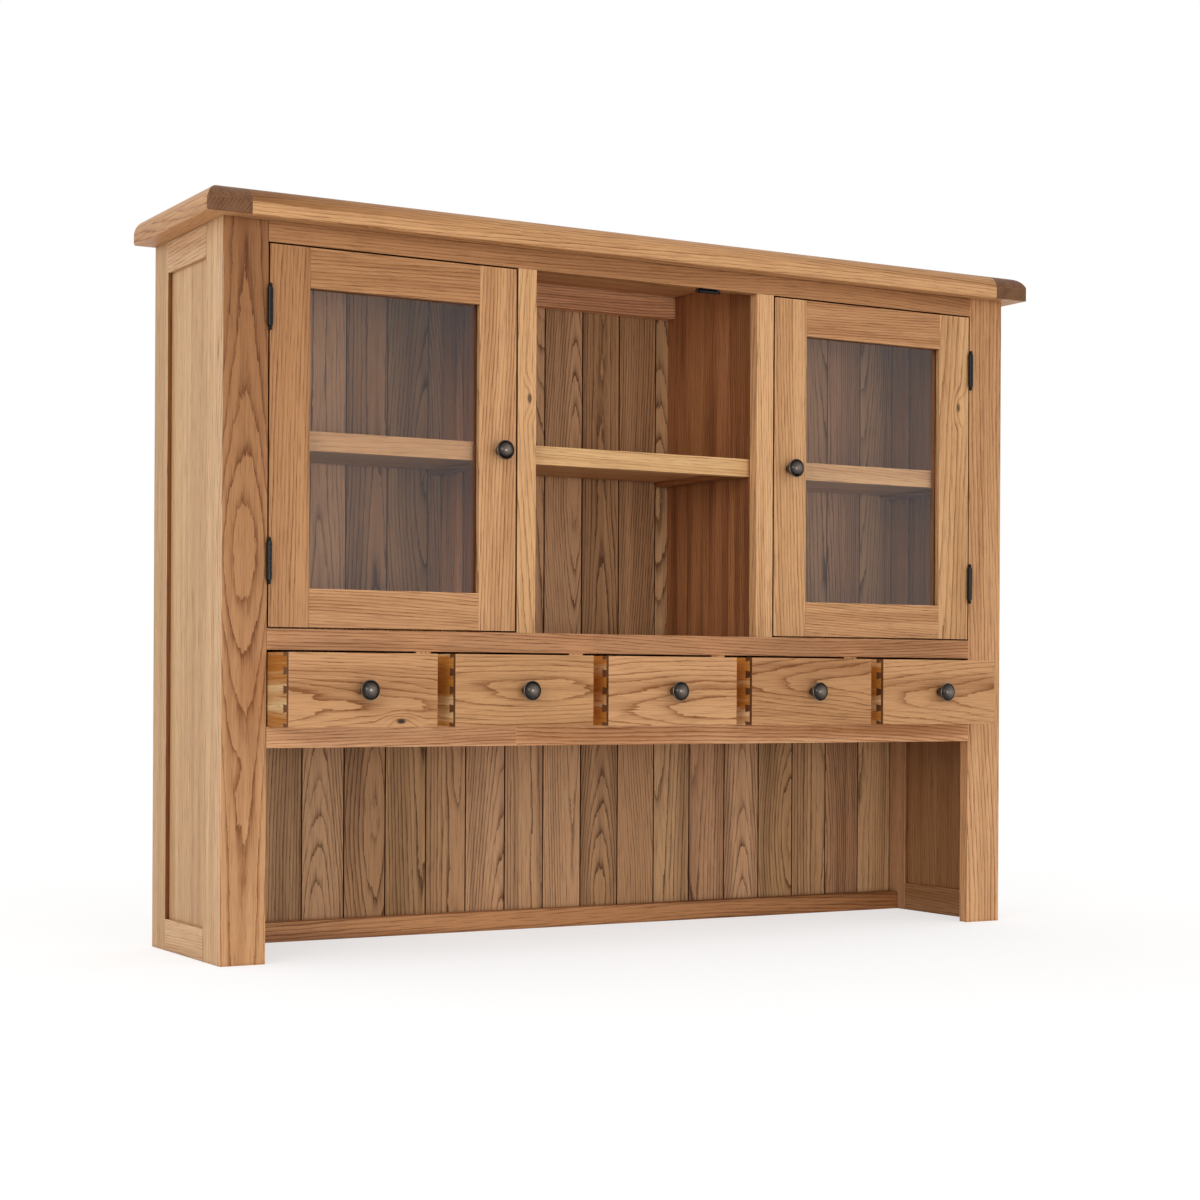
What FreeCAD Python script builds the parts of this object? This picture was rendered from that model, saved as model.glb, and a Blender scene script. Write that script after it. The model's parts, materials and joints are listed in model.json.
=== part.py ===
import FreeCAD, Part
import os
from FreeCAD import Vector

# Oak hutch in millimetres: two glazed doors with an open shelf bay between them, a row of small
# drawers below and an open bay at the foot, backed with tongue-and-groove boards.
# +X is right, +Y is back, +Z is up. The origin is at floor level, in the middle of the overall box.

# Body
BODY_WIDTH = 1385.0
BODY_DEPTH = 284.0
BODY_HEIGHT = 1043.5
EDGE_EASE = 0.7

# Top with its two end boards
TOP_THICKNESS = 39.0
TOP_FLAT_EDGE = 14.0
TOP_ROUND_DEPTH = 25.0
TOP_UNDER_ROUND = 3.0
TOP_CORNER_RADIUS = 5.0
TOP_OVERHANG_FRONT = 27.0
TOP_OVERHANG_SIDE = 33.5
TOP_END_WIDTH = 66.0

# Face frame
FRAME_THICKNESS = 20.0
STILE_WIDTH = 67.0
OPEN_BAY_HEIGHT = 303.0
DRAWER_RAIL_HEIGHT = 30.0
DRAWER_OPENING_HEIGHT = 108.2
MID_RAIL_HEIGHT = 29.8
TOP_RAIL_HEIGHT = 30.0
MULLION_WIDTH = 31.0
DIVIDER_WIDTH = 24.0
TENON_LENGTH = 18.0
UPRIGHT_TENON_LENGTH = 12.0
TENON_THICKNESS = 8.0
TENON_SHOULDER = 4.0

# Side frames and panels
SIDE_THICKNESS = 23.0
SIDE_FRONT_STILE = 48.0
SIDE_BACK_STILE = 57.0
SIDE_TOP_RAIL = 46.0
SIDE_BOTTOM_RAIL = 46.0
SIDE_PANEL_RECESS = 6.5
PANEL_GROOVE_DEPTH = 8.0

# Partitions between the bays
PARTITION_THICKNESS = 22.0
PARTITION_INSET = 2.0
PARTITION_STILE = 56.0
PARTITION_RAIL = 46.0
PARTITION_BOARD_THICKNESS = 12.0

# Floors and drawer guides
FLOOR_THICKNESS = 18.0
END_GUIDE_HEIGHT = 30.0

# Back boards and rails
BACK_THICKNESS = 12.0
BACK_BOARD_COUNT = 19
BOARD_GAP = 1.6
BOARD_VEE = 1.0
TONGUE_LENGTH = 5.0
TONGUE_THICKNESS = 4.0
TONGUE_PLAY = 0.3
BACK_TOP_RAIL_HEIGHT = 36.0
BACK_TOP_RAIL_THICKNESS = 22.0
BACK_BOTTOM_RAIL_HEIGHT = 30.0
BACK_BOTTOM_RAIL_THICKNESS = 24.0

# Shelves
SHELF_TOP = 754.0
SHELF_THICKNESS = 20.0
SHELF_LIP_HEIGHT = 28.0
SHELF_LIP_THICKNESS = 20.0
SHELF_SETBACK = 2.0
CLEAT_WIDTH = 25.0

# Doors
DOOR_THICKNESS = 22.0
DOOR_GAP = 2.4
DOOR_LOCK_GAP = 3.0
DOOR_STILE = 61.0
DOOR_TOP_RAIL = 57.0
DOOR_BOTTOM_RAIL = 55.0
GLASS_SETBACK = 10.0
GLASS_THICKNESS = 4.0
GLASS_EDGE_PLAY = 1.0
GLASS_REBATE = 8.0

# Butt hinges
HINGE_LENGTH = 51.0
HINGE_TOP_INSET = 89.0
HINGE_BOTTOM_INSET = 92.5
KNUCKLE_RADIUS = 4.0
KNUCKLE_COUNT = 5
KNUCKLE_PLAY = 0.25
KNUCKLE_STANDOFF = 0.2
PIN_RADIUS = 2.0
PIN_PLAY = 0.05
COLLAR_RADIUS = 3.4
COLLAR_HEIGHT = 2.0
BALL_RADIUS = 2.9
BALL_RISE = 2.8
LEAF_WIDTH = 16.5
LEAF_START = 0.4
LEAF_PLAY = 0.2
SCREW_RADIUS = 1.5
SCREW_HEAD_RADIUS = 2.9
SCREW_HEAD_HEIGHT = 1.4
SCREW_LENGTH = 16.0
SCREW_PLAY = 0.05
SCREW_PITCH = 17.0
SCREW_STAGGER = 3.0

# Catches
CATCH_WIDTH = 26.0
CATCH_DEPTH = 20.0
CATCH_HEIGHT = 40.0
CATCH_DROP = 60.0
CATCH_GAP = 0.3
STRIKE_THICKNESS = 1.0
STRIKE_MARGIN = 4.0

# Knobs
KNOB_RADIUS = 14.5
KNOB_DOME_RADIUS = 12.2
KNOB_PROJECTION = 29.0
KNOB_FOOT_RADIUS = 6.2
KNOB_FOOT_HEIGHT = 2.0
KNOB_FLARE_RADIUS = 13.4
KNOB_HEAD_HEIGHT = 9.5
KNOB_RIM_HEIGHT = 2.2
KNOB_LOCK_INSET = 28.0
KNOB_DROP = 2.5
KNOB_SCREW_RADIUS = 2.0
KNOB_SCREW_GRIP = 11.0
KNOB_SCREW_PLAY = 0.1
KNOB_SCREW_HEAD_RADIUS = 4.0
KNOB_SCREW_HEAD_HEIGHT = 2.6

# Drawers, left to right, each standing open by its own pull
DRAWER_PULLS = [76.0, 77.0, 74.0, 75.0, 70.0]
DRAWER_SIDE_GAP = 1.5
DRAWER_TOP_GAP = 3.9
DRAWER_LIFT = 0.3
DRAWER_BACK_GAP = 0.5
DRAWER_FRONT_THICKNESS = 18.0
DRAWER_SIDE_THICKNESS = 12.0
DRAWER_BACK_THICKNESS = 12.0
DRAWER_BOTTOM_THICKNESS = 6.0
DRAWER_BOTTOM_HEIGHT = 8.0
DRAWER_GROOVE_DEPTH = 6.0
TAIL_COUNT = 4
TAIL_LAP = 6.0
TAIL_SHARE = 0.52
TAIL_FLARE = 1.6

# Small ball-tipped fitting under the top rail of the centre bay
FITTING_LEFT = 93.0
FITTING_LENGTH = 33.0
FITTING_RADIUS = 3.0
FITTING_DROP = 2.6
FITTING_NECK_RADIUS = 1.4
FITTING_BALL_RADIUS = 2.6
FITTING_BALL_REACH = 4.2
FITTING_SETBACK = 7.0
FITTING_PLATE_WIDTH = 12.0
FITTING_PLATE_THICKNESS = 1.2

# Values worked out from the sizes above
DRAWER_COUNT = len(DRAWER_PULLS)
FACE_Y = (max(DRAWER_PULLS) + KNOB_PROJECTION - BODY_DEPTH) / 2
HALF_WIDTH = BODY_WIDTH / 2
SIDE_INNER = HALF_WIDTH - SIDE_THICKNESS
STILE_INNER = HALF_WIDTH - STILE_WIDTH
BACK_FRONT = BODY_DEPTH - BACK_THICKNESS
DRAWER_FLOOR_Z = OPEN_BAY_HEIGHT + DRAWER_RAIL_HEIGHT
MID_RAIL_Z = DRAWER_FLOOR_Z + DRAWER_OPENING_HEIGHT
BAY_FLOOR_Z = MID_RAIL_Z + MID_RAIL_HEIGHT
TOP_RAIL_Z = BODY_HEIGHT - TOP_RAIL_HEIGHT
BAY_WIDTH = (2 * STILE_INNER - 2 * MULLION_WIDTH) / 3
DRAWER_OPENING_WIDTH = (2 * STILE_INNER - (DRAWER_COUNT - 1) * DIVIDER_WIDTH) / DRAWER_COUNT
MULLION_INNER = BAY_WIDTH / 2
MULLION_OUTER = MULLION_INNER + MULLION_WIDTH
PARTITION_INNER = MULLION_INNER + PARTITION_INSET
PARTITION_OUTER = PARTITION_INNER + PARTITION_THICKNESS
SHELF_FRONT = DOOR_THICKNESS + SHELF_SETBACK
SHELF_BOTTOM = SHELF_TOP - SHELF_THICKNESS
SHELF_LIP_BOTTOM = SHELF_TOP - SHELF_LIP_HEIGHT
DOOR_BOTTOM = BAY_FLOOR_Z + DOOR_GAP
DOOR_TOP = TOP_RAIL_Z - DOOR_GAP

ALONG_X = Vector(1, 0, 0)
ALONG_Y = Vector(0, 1, 0)
ALONG_Z = Vector(0, 0, 1)


def block(x0, x1, y0, y1, z0, z1):
    """Box between two corners, with y counted back from the front of the face frame."""
    corner = Vector(min(x0, x1), FACE_Y + min(y0, y1), min(z0, z1))
    return Part.makeBox(abs(x1 - x0), abs(y1 - y0), abs(z1 - z0), corner)


def edges_along(solid, along):
    """Edges of a box that run along the given axis."""
    return [edge for edge in solid.Edges if edge.tangentAt(0).cross(along).Length < 1e-6]


def timber(x0, x1, y0, y1, z0, z1, along):
    """Box whose long edges, the ones that run along the given axis, are slightly rounded."""
    solid = block(x0, x1, y0, y1, z0, z1)
    return solid.makeFillet(EDGE_EASE, edges_along(solid, along))


def tenon_across(x0, x1, y0, y1, z0, z1, length):
    """Bar of the two end tenons of a rail that runs along X."""
    middle = (y0 + y1) / 2
    half = TENON_THICKNESS / 2
    low = z0 + TENON_SHOULDER
    high = z1 - TENON_SHOULDER
    return block(x0 - length, x1 + length, middle - half, middle + half, low, high)


def tenon_upright(x0, x1, y0, y1, z0, z1, length):
    """Bar of the two end tenons of an upright that runs along Z."""
    middle = (y0 + y1) / 2
    half = TENON_THICKNESS / 2
    left = x0 + TENON_SHOULDER
    right = x1 - TENON_SHOULDER
    return block(left, right, middle - half, middle + half, z0 - length, z1 + length)


def tenon_deep(x0, x1, y0, y1, z0, z1, length):
    """Bar of the two end tenons of a rail that runs along Y."""
    middle = (x0 + x1) / 2
    half = TENON_THICKNESS / 2
    low = z0 + TENON_SHOULDER
    high = z1 - TENON_SHOULDER
    return block(middle - half, middle + half, y0 - length, y1 + length, low, high)


def cut_all(solid, tools):
    """The solid with every tool taken out of it."""
    for tool in tools:
        solid = solid.cut(tool)
    return solid


def cylinder(x, y, z, direction, radius, length):
    """Cylinder from a point, with y counted back from the front of the face frame."""
    return Part.makeCylinder(radius, length, Vector(x, FACE_Y + y, z), direction)


def prism(points, direction):
    """Solid made by pushing a closed outline of points along a vector."""
    outline = Part.makePolygon(points + points[:1])
    return Part.Face(outline).extrude(direction)


def mirrored(shapes):
    """The same shapes on the other side of the middle of the hutch."""
    return [shape.mirror(Vector(0, 0, 0), ALONG_X) for shape in shapes]


def save(node, shapes):
    """Write every solid of a node into its own file."""
    solids = [solid for shape in shapes for solid in shape.Solids]
    group = solids[0] if len(solids) == 1 else Part.makeCompound(solids)
    group.exportStep("parts/" + node + ".step")


def quarter_ellipse(first, last, centre):
    """Quarter of an ellipse between the ends of its two half axes."""
    if (first - centre).Length >= (last - centre).Length:
        ellipse = Part.Ellipse(first, last, centre)
    else:
        ellipse = Part.Ellipse(last, first, centre)
    ends = sorted((ellipse.parameter(first), ellipse.parameter(last)))
    return Part.Arc(ellipse, *ends).toShape()


def quarter_circle(first, last, centre):
    """Quarter of a circle between two points about its centre."""
    radius = (first - centre).Length
    outward = first + last - centre * 2
    return Part.Arc(first, centre + outward.normalize() * radius, last).toShape()


def face_inside(edges):
    """Flat face inside a closed loop of edges."""
    return Part.Face(Part.Wire(Part.__sortEdges__(edges)))


def edge_section(tip, inward):
    """Edge outline of the top: a small round below, a flat, a quarter ellipse above, and back."""
    corner = tip + ALONG_Z * TOP_FLAT_EDGE
    centre = corner + inward * TOP_ROUND_DEPTH
    crown = centre + ALONG_Z * (TOP_THICKNESS - TOP_FLAT_EDGE)
    low = tip + inward * TOP_ROUND_DEPTH
    round_over = quarter_ellipse(corner, crown, centre)
    heel = tip + ALONG_Z * TOP_UNDER_ROUND
    toe = tip + inward * TOP_UNDER_ROUND
    under = quarter_circle(heel, toe, heel + inward * TOP_UNDER_ROUND)
    lines = [Part.makeLine(heel, corner), Part.makeLine(crown, low), Part.makeLine(low, toe)]
    return face_inside(lines + [round_over, under])


def make_top():
    """Top board and its two end boards, rounded over at the front and the sides."""
    half = HALF_WIDTH + TOP_OVERHANG_SIDE
    front = FACE_Y - TOP_OVERHANG_FRONT
    back = FACE_Y + BODY_DEPTH
    run = Vector(2 * half, 0, 0)
    edge = edge_section(Vector(-half, front, BODY_HEIGHT), ALONG_Y).extrude(run)
    flat_front = TOP_ROUND_DEPTH - TOP_OVERHANG_FRONT
    rest = block(-half, half, flat_front, BODY_DEPTH, BODY_HEIGHT, BODY_HEIGHT + TOP_THICKNESS)
    front_rounded = edge.fuse(rest).removeSplitter()
    depth = Vector(0, back - front, 0)
    left_edge = edge_section(Vector(-half, front, BODY_HEIGHT), ALONG_X).extrude(depth)
    right_edge = edge_section(Vector(half, front, BODY_HEIGHT), ALONG_X * -1).extrude(depth)
    inner = half - TOP_ROUND_DEPTH
    middle = block(-inner, inner, -TOP_OVERHANG_FRONT, BODY_DEPTH, BODY_HEIGHT, BODY_HEIGHT + TOP_THICKNESS)
    whole = front_rounded.common(left_edge.fuse([middle, right_edge]).removeSplitter())
    joint = half - TOP_END_WIDTH
    stock = (-TOP_OVERHANG_FRONT, BODY_DEPTH, BODY_HEIGHT, BODY_HEIGHT + TOP_THICKNESS)
    plan = block(-half, half, *stock)
    front_corners = [line for line in edges_along(plan, ALONG_Z) if line.BoundBox.YMax < FACE_Y]
    whole = whole.common(plan.makeFillet(TOP_CORNER_RADIUS, front_corners))
    save("top_board", [whole.common(block(-joint, joint, *stock))])
    save("top_end_left", [whole.common(block(-half, -joint, *stock))])
    save("top_end_right", [whole.common(block(joint, half, *stock))])


def divider_left(index):
    """Left edge of one drawer divider."""
    return -STILE_INNER + (index + 1) * DRAWER_OPENING_WIDTH + index * DIVIDER_WIDTH


def make_face_frame(hinge_holes):
    """Stiles, rails, mullions and dividers of the face frame, with their mortises and tenons."""
    across = (-STILE_INNER, STILE_INNER, 0, FRAME_THICKNESS)
    rails = {
        "face_top_rail": (*across, TOP_RAIL_Z, BODY_HEIGHT),
        "face_mid_rail": (*across, MID_RAIL_Z, BAY_FLOOR_Z),
        "face_drawer_rail": (*across, OPEN_BAY_HEIGHT, DRAWER_FLOOR_Z),
    }
    mullions = []
    for left in (-MULLION_OUTER, MULLION_INNER):
        mullions.append((left, left + MULLION_WIDTH, 0, FRAME_THICKNESS, BAY_FLOOR_Z, TOP_RAIL_Z))
    dividers = []
    for index in range(DRAWER_COUNT - 1):
        left = divider_left(index)
        dividers.append((left, left + DIVIDER_WIDTH, 0, FRAME_THICKNESS, DRAWER_FLOOR_Z, MID_RAIL_Z))
    upright_tenons = [tenon_upright(*size, UPRIGHT_TENON_LENGTH) for size in mullions + dividers]
    rail_tenons = [tenon_across(*size, TENON_LENGTH) for size in rails.values()]
    for node, size in rails.items():
        rail = timber(*size, ALONG_X).fuse(tenon_across(*size, TENON_LENGTH)).removeSplitter()
        save(node, [cut_all(rail, upright_tenons)])
    for node, uprights in (("face_mullions", mullions), ("drawer_dividers", dividers)):
        solids = []
        for size in uprights:
            tenon = tenon_upright(*size, UPRIGHT_TENON_LENGTH)
            solids.append(timber(*size, ALONG_Z).fuse(tenon).removeSplitter())
        save(node, solids)
    stile = timber(-HALF_WIDTH, -STILE_INNER, 0, FRAME_THICKNESS, 0, BODY_HEIGHT, ALONG_Z)
    left_stile = cut_all(stile, rail_tenons + hinge_holes)
    save("face_stile_left", [left_stile])
    save("face_stile_right", mirrored([left_stile]))


def make_side_frames():
    """Two side frames behind the face frame, each with a panel held in grooves."""
    outer = -HALF_WIDTH
    inner = -SIDE_INNER
    front = FRAME_THICKNESS + SIDE_FRONT_STILE
    back = BODY_DEPTH - SIDE_BACK_STILE
    low = SIDE_BOTTOM_RAIL
    high = BODY_HEIGHT - SIDE_TOP_RAIL
    groove = PANEL_GROOVE_DEPTH
    panel = block(outer + SIDE_PANEL_RECESS, inner - SIDE_PANEL_RECESS,
                  front - groove, back + groove, low - groove, high + groove)
    bars = [(outer, inner, front, back, high, BODY_HEIGHT), (outer, inner, front, back, 0, low)]
    tenons = [tenon_deep(*size, TENON_LENGTH) for size in bars]
    stiles = []
    for y0, y1 in ((FRAME_THICKNESS, front), (back, BODY_DEPTH)):
        stiles.append(cut_all(timber(outer, inner, y0, y1, 0, BODY_HEIGHT, ALONG_Z), tenons + [panel]))
    rails = []
    for size, tenon in zip(bars, tenons):
        rails.append(timber(*size, ALONG_Y).fuse(tenon).removeSplitter().cut(panel))
    save("side_frame_left", stiles + rails)
    save("side_frame_right", mirrored(stiles + rails))
    save("side_panel_left", [panel])
    save("side_panel_right", mirrored([panel]))


def make_partitions():
    """Two partitions: one flush board towards the centre bay, with a frame on its cupboard side."""
    outer = -PARTITION_OUTER
    inner = -PARTITION_INNER
    seam = inner - PARTITION_BOARD_THICKNESS
    front = FRAME_THICKNESS + PARTITION_STILE
    back = BACK_FRONT - PARTITION_STILE
    low = BAY_FLOOR_Z + PARTITION_RAIL
    high = BODY_HEIGHT - PARTITION_RAIL
    notch = back_top_rail()
    board = block(seam, inner, FRAME_THICKNESS, BACK_FRONT, BAY_FLOOR_Z, BODY_HEIGHT).cut(notch)
    stiles = []
    for y0, y1 in ((FRAME_THICKNESS, front), (back, BACK_FRONT)):
        stiles.append(timber(outer, seam, y0, y1, BAY_FLOOR_Z, BODY_HEIGHT, ALONG_Z).cut(notch))
    rails = []
    for z0, z1 in ((BAY_FLOOR_Z, low), (high, BODY_HEIGHT)):
        rails.append(timber(outer, seam, front, back, z0, z1, ALONG_Y).cut(notch))
    pieces = [board] + stiles + rails
    save("partition_left", pieces)
    save("partition_right", mirrored(pieces))


def back_top_rail():
    """Rail that runs behind the partitions, under the top."""
    return block(-SIDE_INNER, SIDE_INNER, BACK_FRONT - BACK_TOP_RAIL_THICKNESS, BACK_FRONT,
                 BODY_HEIGHT - BACK_TOP_RAIL_HEIGHT, BODY_HEIGHT)


def make_back():
    """Tongue-and-groove boards between the side frames, and the rails that they are nailed to."""
    pitch = 2 * SIDE_INNER / BACK_BOARD_COUNT
    front = FACE_Y + BACK_FRONT
    back = FACE_Y + BODY_DEPTH
    tongue_front = (front + back - TONGUE_THICKNESS) / 2
    tongue_back = tongue_front + TONGUE_THICKNESS
    boards = []
    for index in range(BACK_BOARD_COUNT):
        first = index == 0
        last = index == BACK_BOARD_COUNT - 1
        left = -SIDE_INNER + index * pitch + (0 if first else BOARD_GAP / 2)
        right = -SIDE_INNER + (index + 1) * pitch - (0 if last else BOARD_GAP / 2)
        tongue = right if last else right + TONGUE_LENGTH + BOARD_GAP
        groove = left if first else left + TONGUE_LENGTH + TONGUE_PLAY
        corners = [(left + BOARD_VEE, front), (right - BOARD_VEE, front), (right, front + BOARD_VEE)]
        if not last:
            corners += [(right, tongue_front), (tongue, tongue_front)]
            corners += [(tongue, tongue_back), (right, tongue_back)]
        corners += [(right, back), (left, back)]
        if not first:
            corners += [(left, tongue_back), (groove, tongue_back)]
            corners += [(groove, tongue_front), (left, tongue_front)]
        corners += [(left, front + BOARD_VEE)]
        outline = [Vector(x, y, 0) for x, y in corners]
        boards.append(prism(outline, Vector(0, 0, BODY_HEIGHT)))
    bottom_rail = timber(-SIDE_INNER, SIDE_INNER, BACK_FRONT - BACK_BOTTOM_RAIL_THICKNESS, BACK_FRONT,
                         0, BACK_BOTTOM_RAIL_HEIGHT, ALONG_X)
    save("back_boards", boards)
    save("back_rails", [back_top_rail(), bottom_rail])


def make_floors():
    """Cupboard floor, drawer bay floor and the guides that keep the drawers straight."""
    for node, top in (("cupboard_floor", BAY_FLOOR_Z), ("drawer_bay_floor", DRAWER_FLOOR_Z)):
        low = top - FLOOR_THICKNESS
        save(node, [block(-SIDE_INNER, SIDE_INNER, FRAME_THICKNESS, BACK_FRONT, low, top)])
    guides = []
    for index in range(DRAWER_COUNT - 1):
        left = divider_left(index)
        guides.append(block(left, left + DIVIDER_WIDTH, FRAME_THICKNESS, BACK_FRONT,
                            DRAWER_FLOOR_Z, BAY_FLOOR_Z - FLOOR_THICKNESS))
    end_guide = block(-SIDE_INNER, -STILE_INNER, FRAME_THICKNESS, BACK_FRONT,
                      DRAWER_FLOOR_Z, DRAWER_FLOOR_Z + END_GUIDE_HEIGHT)
    save("drawer_guides", guides + [end_guide] + mirrored([end_guide]))


def make_shelves():
    """Three shelves in line, each a board with a deeper front lip, resting on side cleats."""
    lip_back = SHELF_FRONT + SHELF_LIP_THICKNESS
    bays = {
        "shelf_left": (-SIDE_INNER, -PARTITION_OUTER),
        "shelf_centre": (-PARTITION_INNER, PARTITION_INNER),
        "shelf_right": (PARTITION_OUTER, SIDE_INNER),
    }
    cleats = []
    for node, (left, right) in bays.items():
        board = block(left, right, lip_back, BACK_FRONT, SHELF_BOTTOM, SHELF_TOP)
        lip = timber(left, right, SHELF_FRONT, lip_back, SHELF_LIP_BOTTOM, SHELF_TOP, ALONG_X)
        save(node, [board, lip])
        for start in (left, right - CLEAT_WIDTH):
            end = start + CLEAT_WIDTH
            cleats.append(block(start, end, lip_back, BACK_FRONT, SHELF_LIP_BOTTOM, SHELF_BOTTOM))
    save("shelf_cleats", cleats)


def knob_and_screw(x, y, z, panel_thickness, recess):
    """Turned knob in front of a panel, and the screw that holds it from behind."""
    neck_end = KNOB_PROJECTION - KNOB_HEAD_HEIGHT
    rim_end = neck_end + KNOB_RIM_HEIGHT

    def spot(radius, out):
        return Vector(radius, -out, 0)

    bore = KNOB_SCREW_RADIUS + PIN_PLAY
    corners = [spot(0, KNOB_PROJECTION), spot(0, KNOB_SCREW_GRIP), spot(bore, KNOB_SCREW_GRIP),
               spot(bore, 0), spot(KNOB_FOOT_RADIUS, 0), spot(KNOB_FOOT_RADIUS, KNOB_FOOT_HEIGHT),
               spot(KNOB_FLARE_RADIUS, neck_end), spot(KNOB_RADIUS, neck_end), spot(KNOB_RADIUS, rim_end),
               spot(KNOB_DOME_RADIUS, rim_end)]
    outline = [Part.makeLine(start, end) for start, end in zip(corners, corners[1:])]
    dome_low = corners[-1]
    dome_height = KNOB_PROJECTION - rim_end
    dome_radius = (KNOB_DOME_RADIUS ** 2 + dome_height ** 2) / (2 * dome_height)
    dome = Part.Circle(spot(0, KNOB_PROJECTION - dome_radius), ALONG_Z, dome_radius)
    ends = sorted((dome.parameter(dome_low), dome.parameter(corners[0])))
    outline.append(Part.Arc(dome, *ends).toShape())
    turned = face_inside(outline).revolve(spot(0, 0), ALONG_Y, 360)
    knob = turned.translated(Vector(x, FACE_Y + y, z))
    seat = y + panel_thickness - recess
    length = panel_thickness - recess + KNOB_SCREW_GRIP - KNOB_SCREW_PLAY
    shank = cylinder(x, seat, z, ALONG_Y * -1, KNOB_SCREW_RADIUS, length)
    head = cylinder(x, seat, z, ALONG_Y, KNOB_SCREW_HEAD_RADIUS, KNOB_SCREW_HEAD_HEIGHT)
    return [knob, shank.fuse(head).removeSplitter()]


def knob_hole(x, y, z, panel_thickness, recess):
    """Clearance hole for a knob's screw, sunk from behind for its head."""
    hole = cylinder(x, y, z, ALONG_Y, KNOB_SCREW_RADIUS + KNOB_SCREW_PLAY, panel_thickness)
    if recess == 0:
        return hole
    head_room = KNOB_SCREW_HEAD_RADIUS + KNOB_SCREW_PLAY
    pocket = cylinder(x, y + panel_thickness - recess, z, ALONG_Y, head_room, recess)
    return hole.fuse(pocket)


def countersunk(x, y, z, direction, play):
    """Countersunk screw with its head at the given point, grown by a play for its hole."""
    point = Vector(x, FACE_Y + y, z)
    head = Part.makeCone(SCREW_HEAD_RADIUS + play, SCREW_RADIUS + play, SCREW_HEAD_HEIGHT, point, direction)
    shank = Part.makeCylinder(SCREW_RADIUS + play, SCREW_LENGTH + play, point, direction)
    return head.fuse(shank).removeSplitter()


def make_hinge(z_middle):
    """One left-hand butt hinge: frame leaf, door leaf, pin, screws and screw holes."""
    axis_x = -STILE_INNER + DOOR_GAP / 2
    axis_y = -(KNUCKLE_RADIUS + KNUCKLE_STANDOFF)
    low = z_middle - HINGE_LENGTH / 2
    high = z_middle + HINGE_LENGTH / 2
    leaf = (DOOR_GAP - LEAF_PLAY) / 2
    step = (HINGE_LENGTH + KNUCKLE_PLAY) / KNUCKLE_COUNT
    sides = {
        "frame": (-STILE_INNER, -STILE_INNER + leaf, ALONG_X * -1),
        "door": (-STILE_INNER + DOOR_GAP - leaf, -STILE_INNER + DOOR_GAP, ALONG_X),
    }
    bore = cylinder(axis_x, axis_y, low, ALONG_Z, PIN_RADIUS + PIN_PLAY, HINGE_LENGTH)
    result = {}
    for order, (side, (x0, x1, inward)) in enumerate(sides.items()):
        plate = block(x0, x1, LEAF_START, LEAF_START + LEAF_WIDTH, low, high)
        for index in range(order, KNUCKLE_COUNT, 2):
            z0 = low + index * step
            z1 = z0 + step - KNUCKLE_PLAY
            ring = cylinder(axis_x, axis_y, z0, ALONG_Z, KNUCKLE_RADIUS, z1 - z0)
            plate = plate.fuse([ring, block(x0, x1, axis_y, LEAF_START, z0, z1)])
        face = x1 if side == "frame" else x0
        screws = []
        holes = []
        for offset, shift in ((-1, 0), (0, 1), (1, 0)):
            y = LEAF_START + LEAF_WIDTH / 2 - SCREW_STAGGER / 2 + shift * SCREW_STAGGER
            spot = (face, y, z_middle + offset * SCREW_PITCH, inward)
            screws.append(countersunk(*spot, 0))
            holes.append(countersunk(*spot, SCREW_PLAY))
        result[side] = [cut_all(plate.removeSplitter().cut(bore), holes)] + screws
        result[side + "_holes"] = holes
    pin = cylinder(axis_x, axis_y, low, ALONG_Z, PIN_RADIUS, HINGE_LENGTH)
    for end, out in ((low, -1), (high, 1)):
        collar = cylinder(axis_x, axis_y, end, ALONG_Z * out, COLLAR_RADIUS, COLLAR_HEIGHT)
        ball_z = end + out * (COLLAR_HEIGHT + BALL_RISE)
        ball = Part.makeSphere(BALL_RADIUS, Vector(axis_x, FACE_Y + axis_y, ball_z))
        pin = pin.fuse([collar, ball])
    result["pin"] = [pin.removeSplitter()]
    return result


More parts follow.
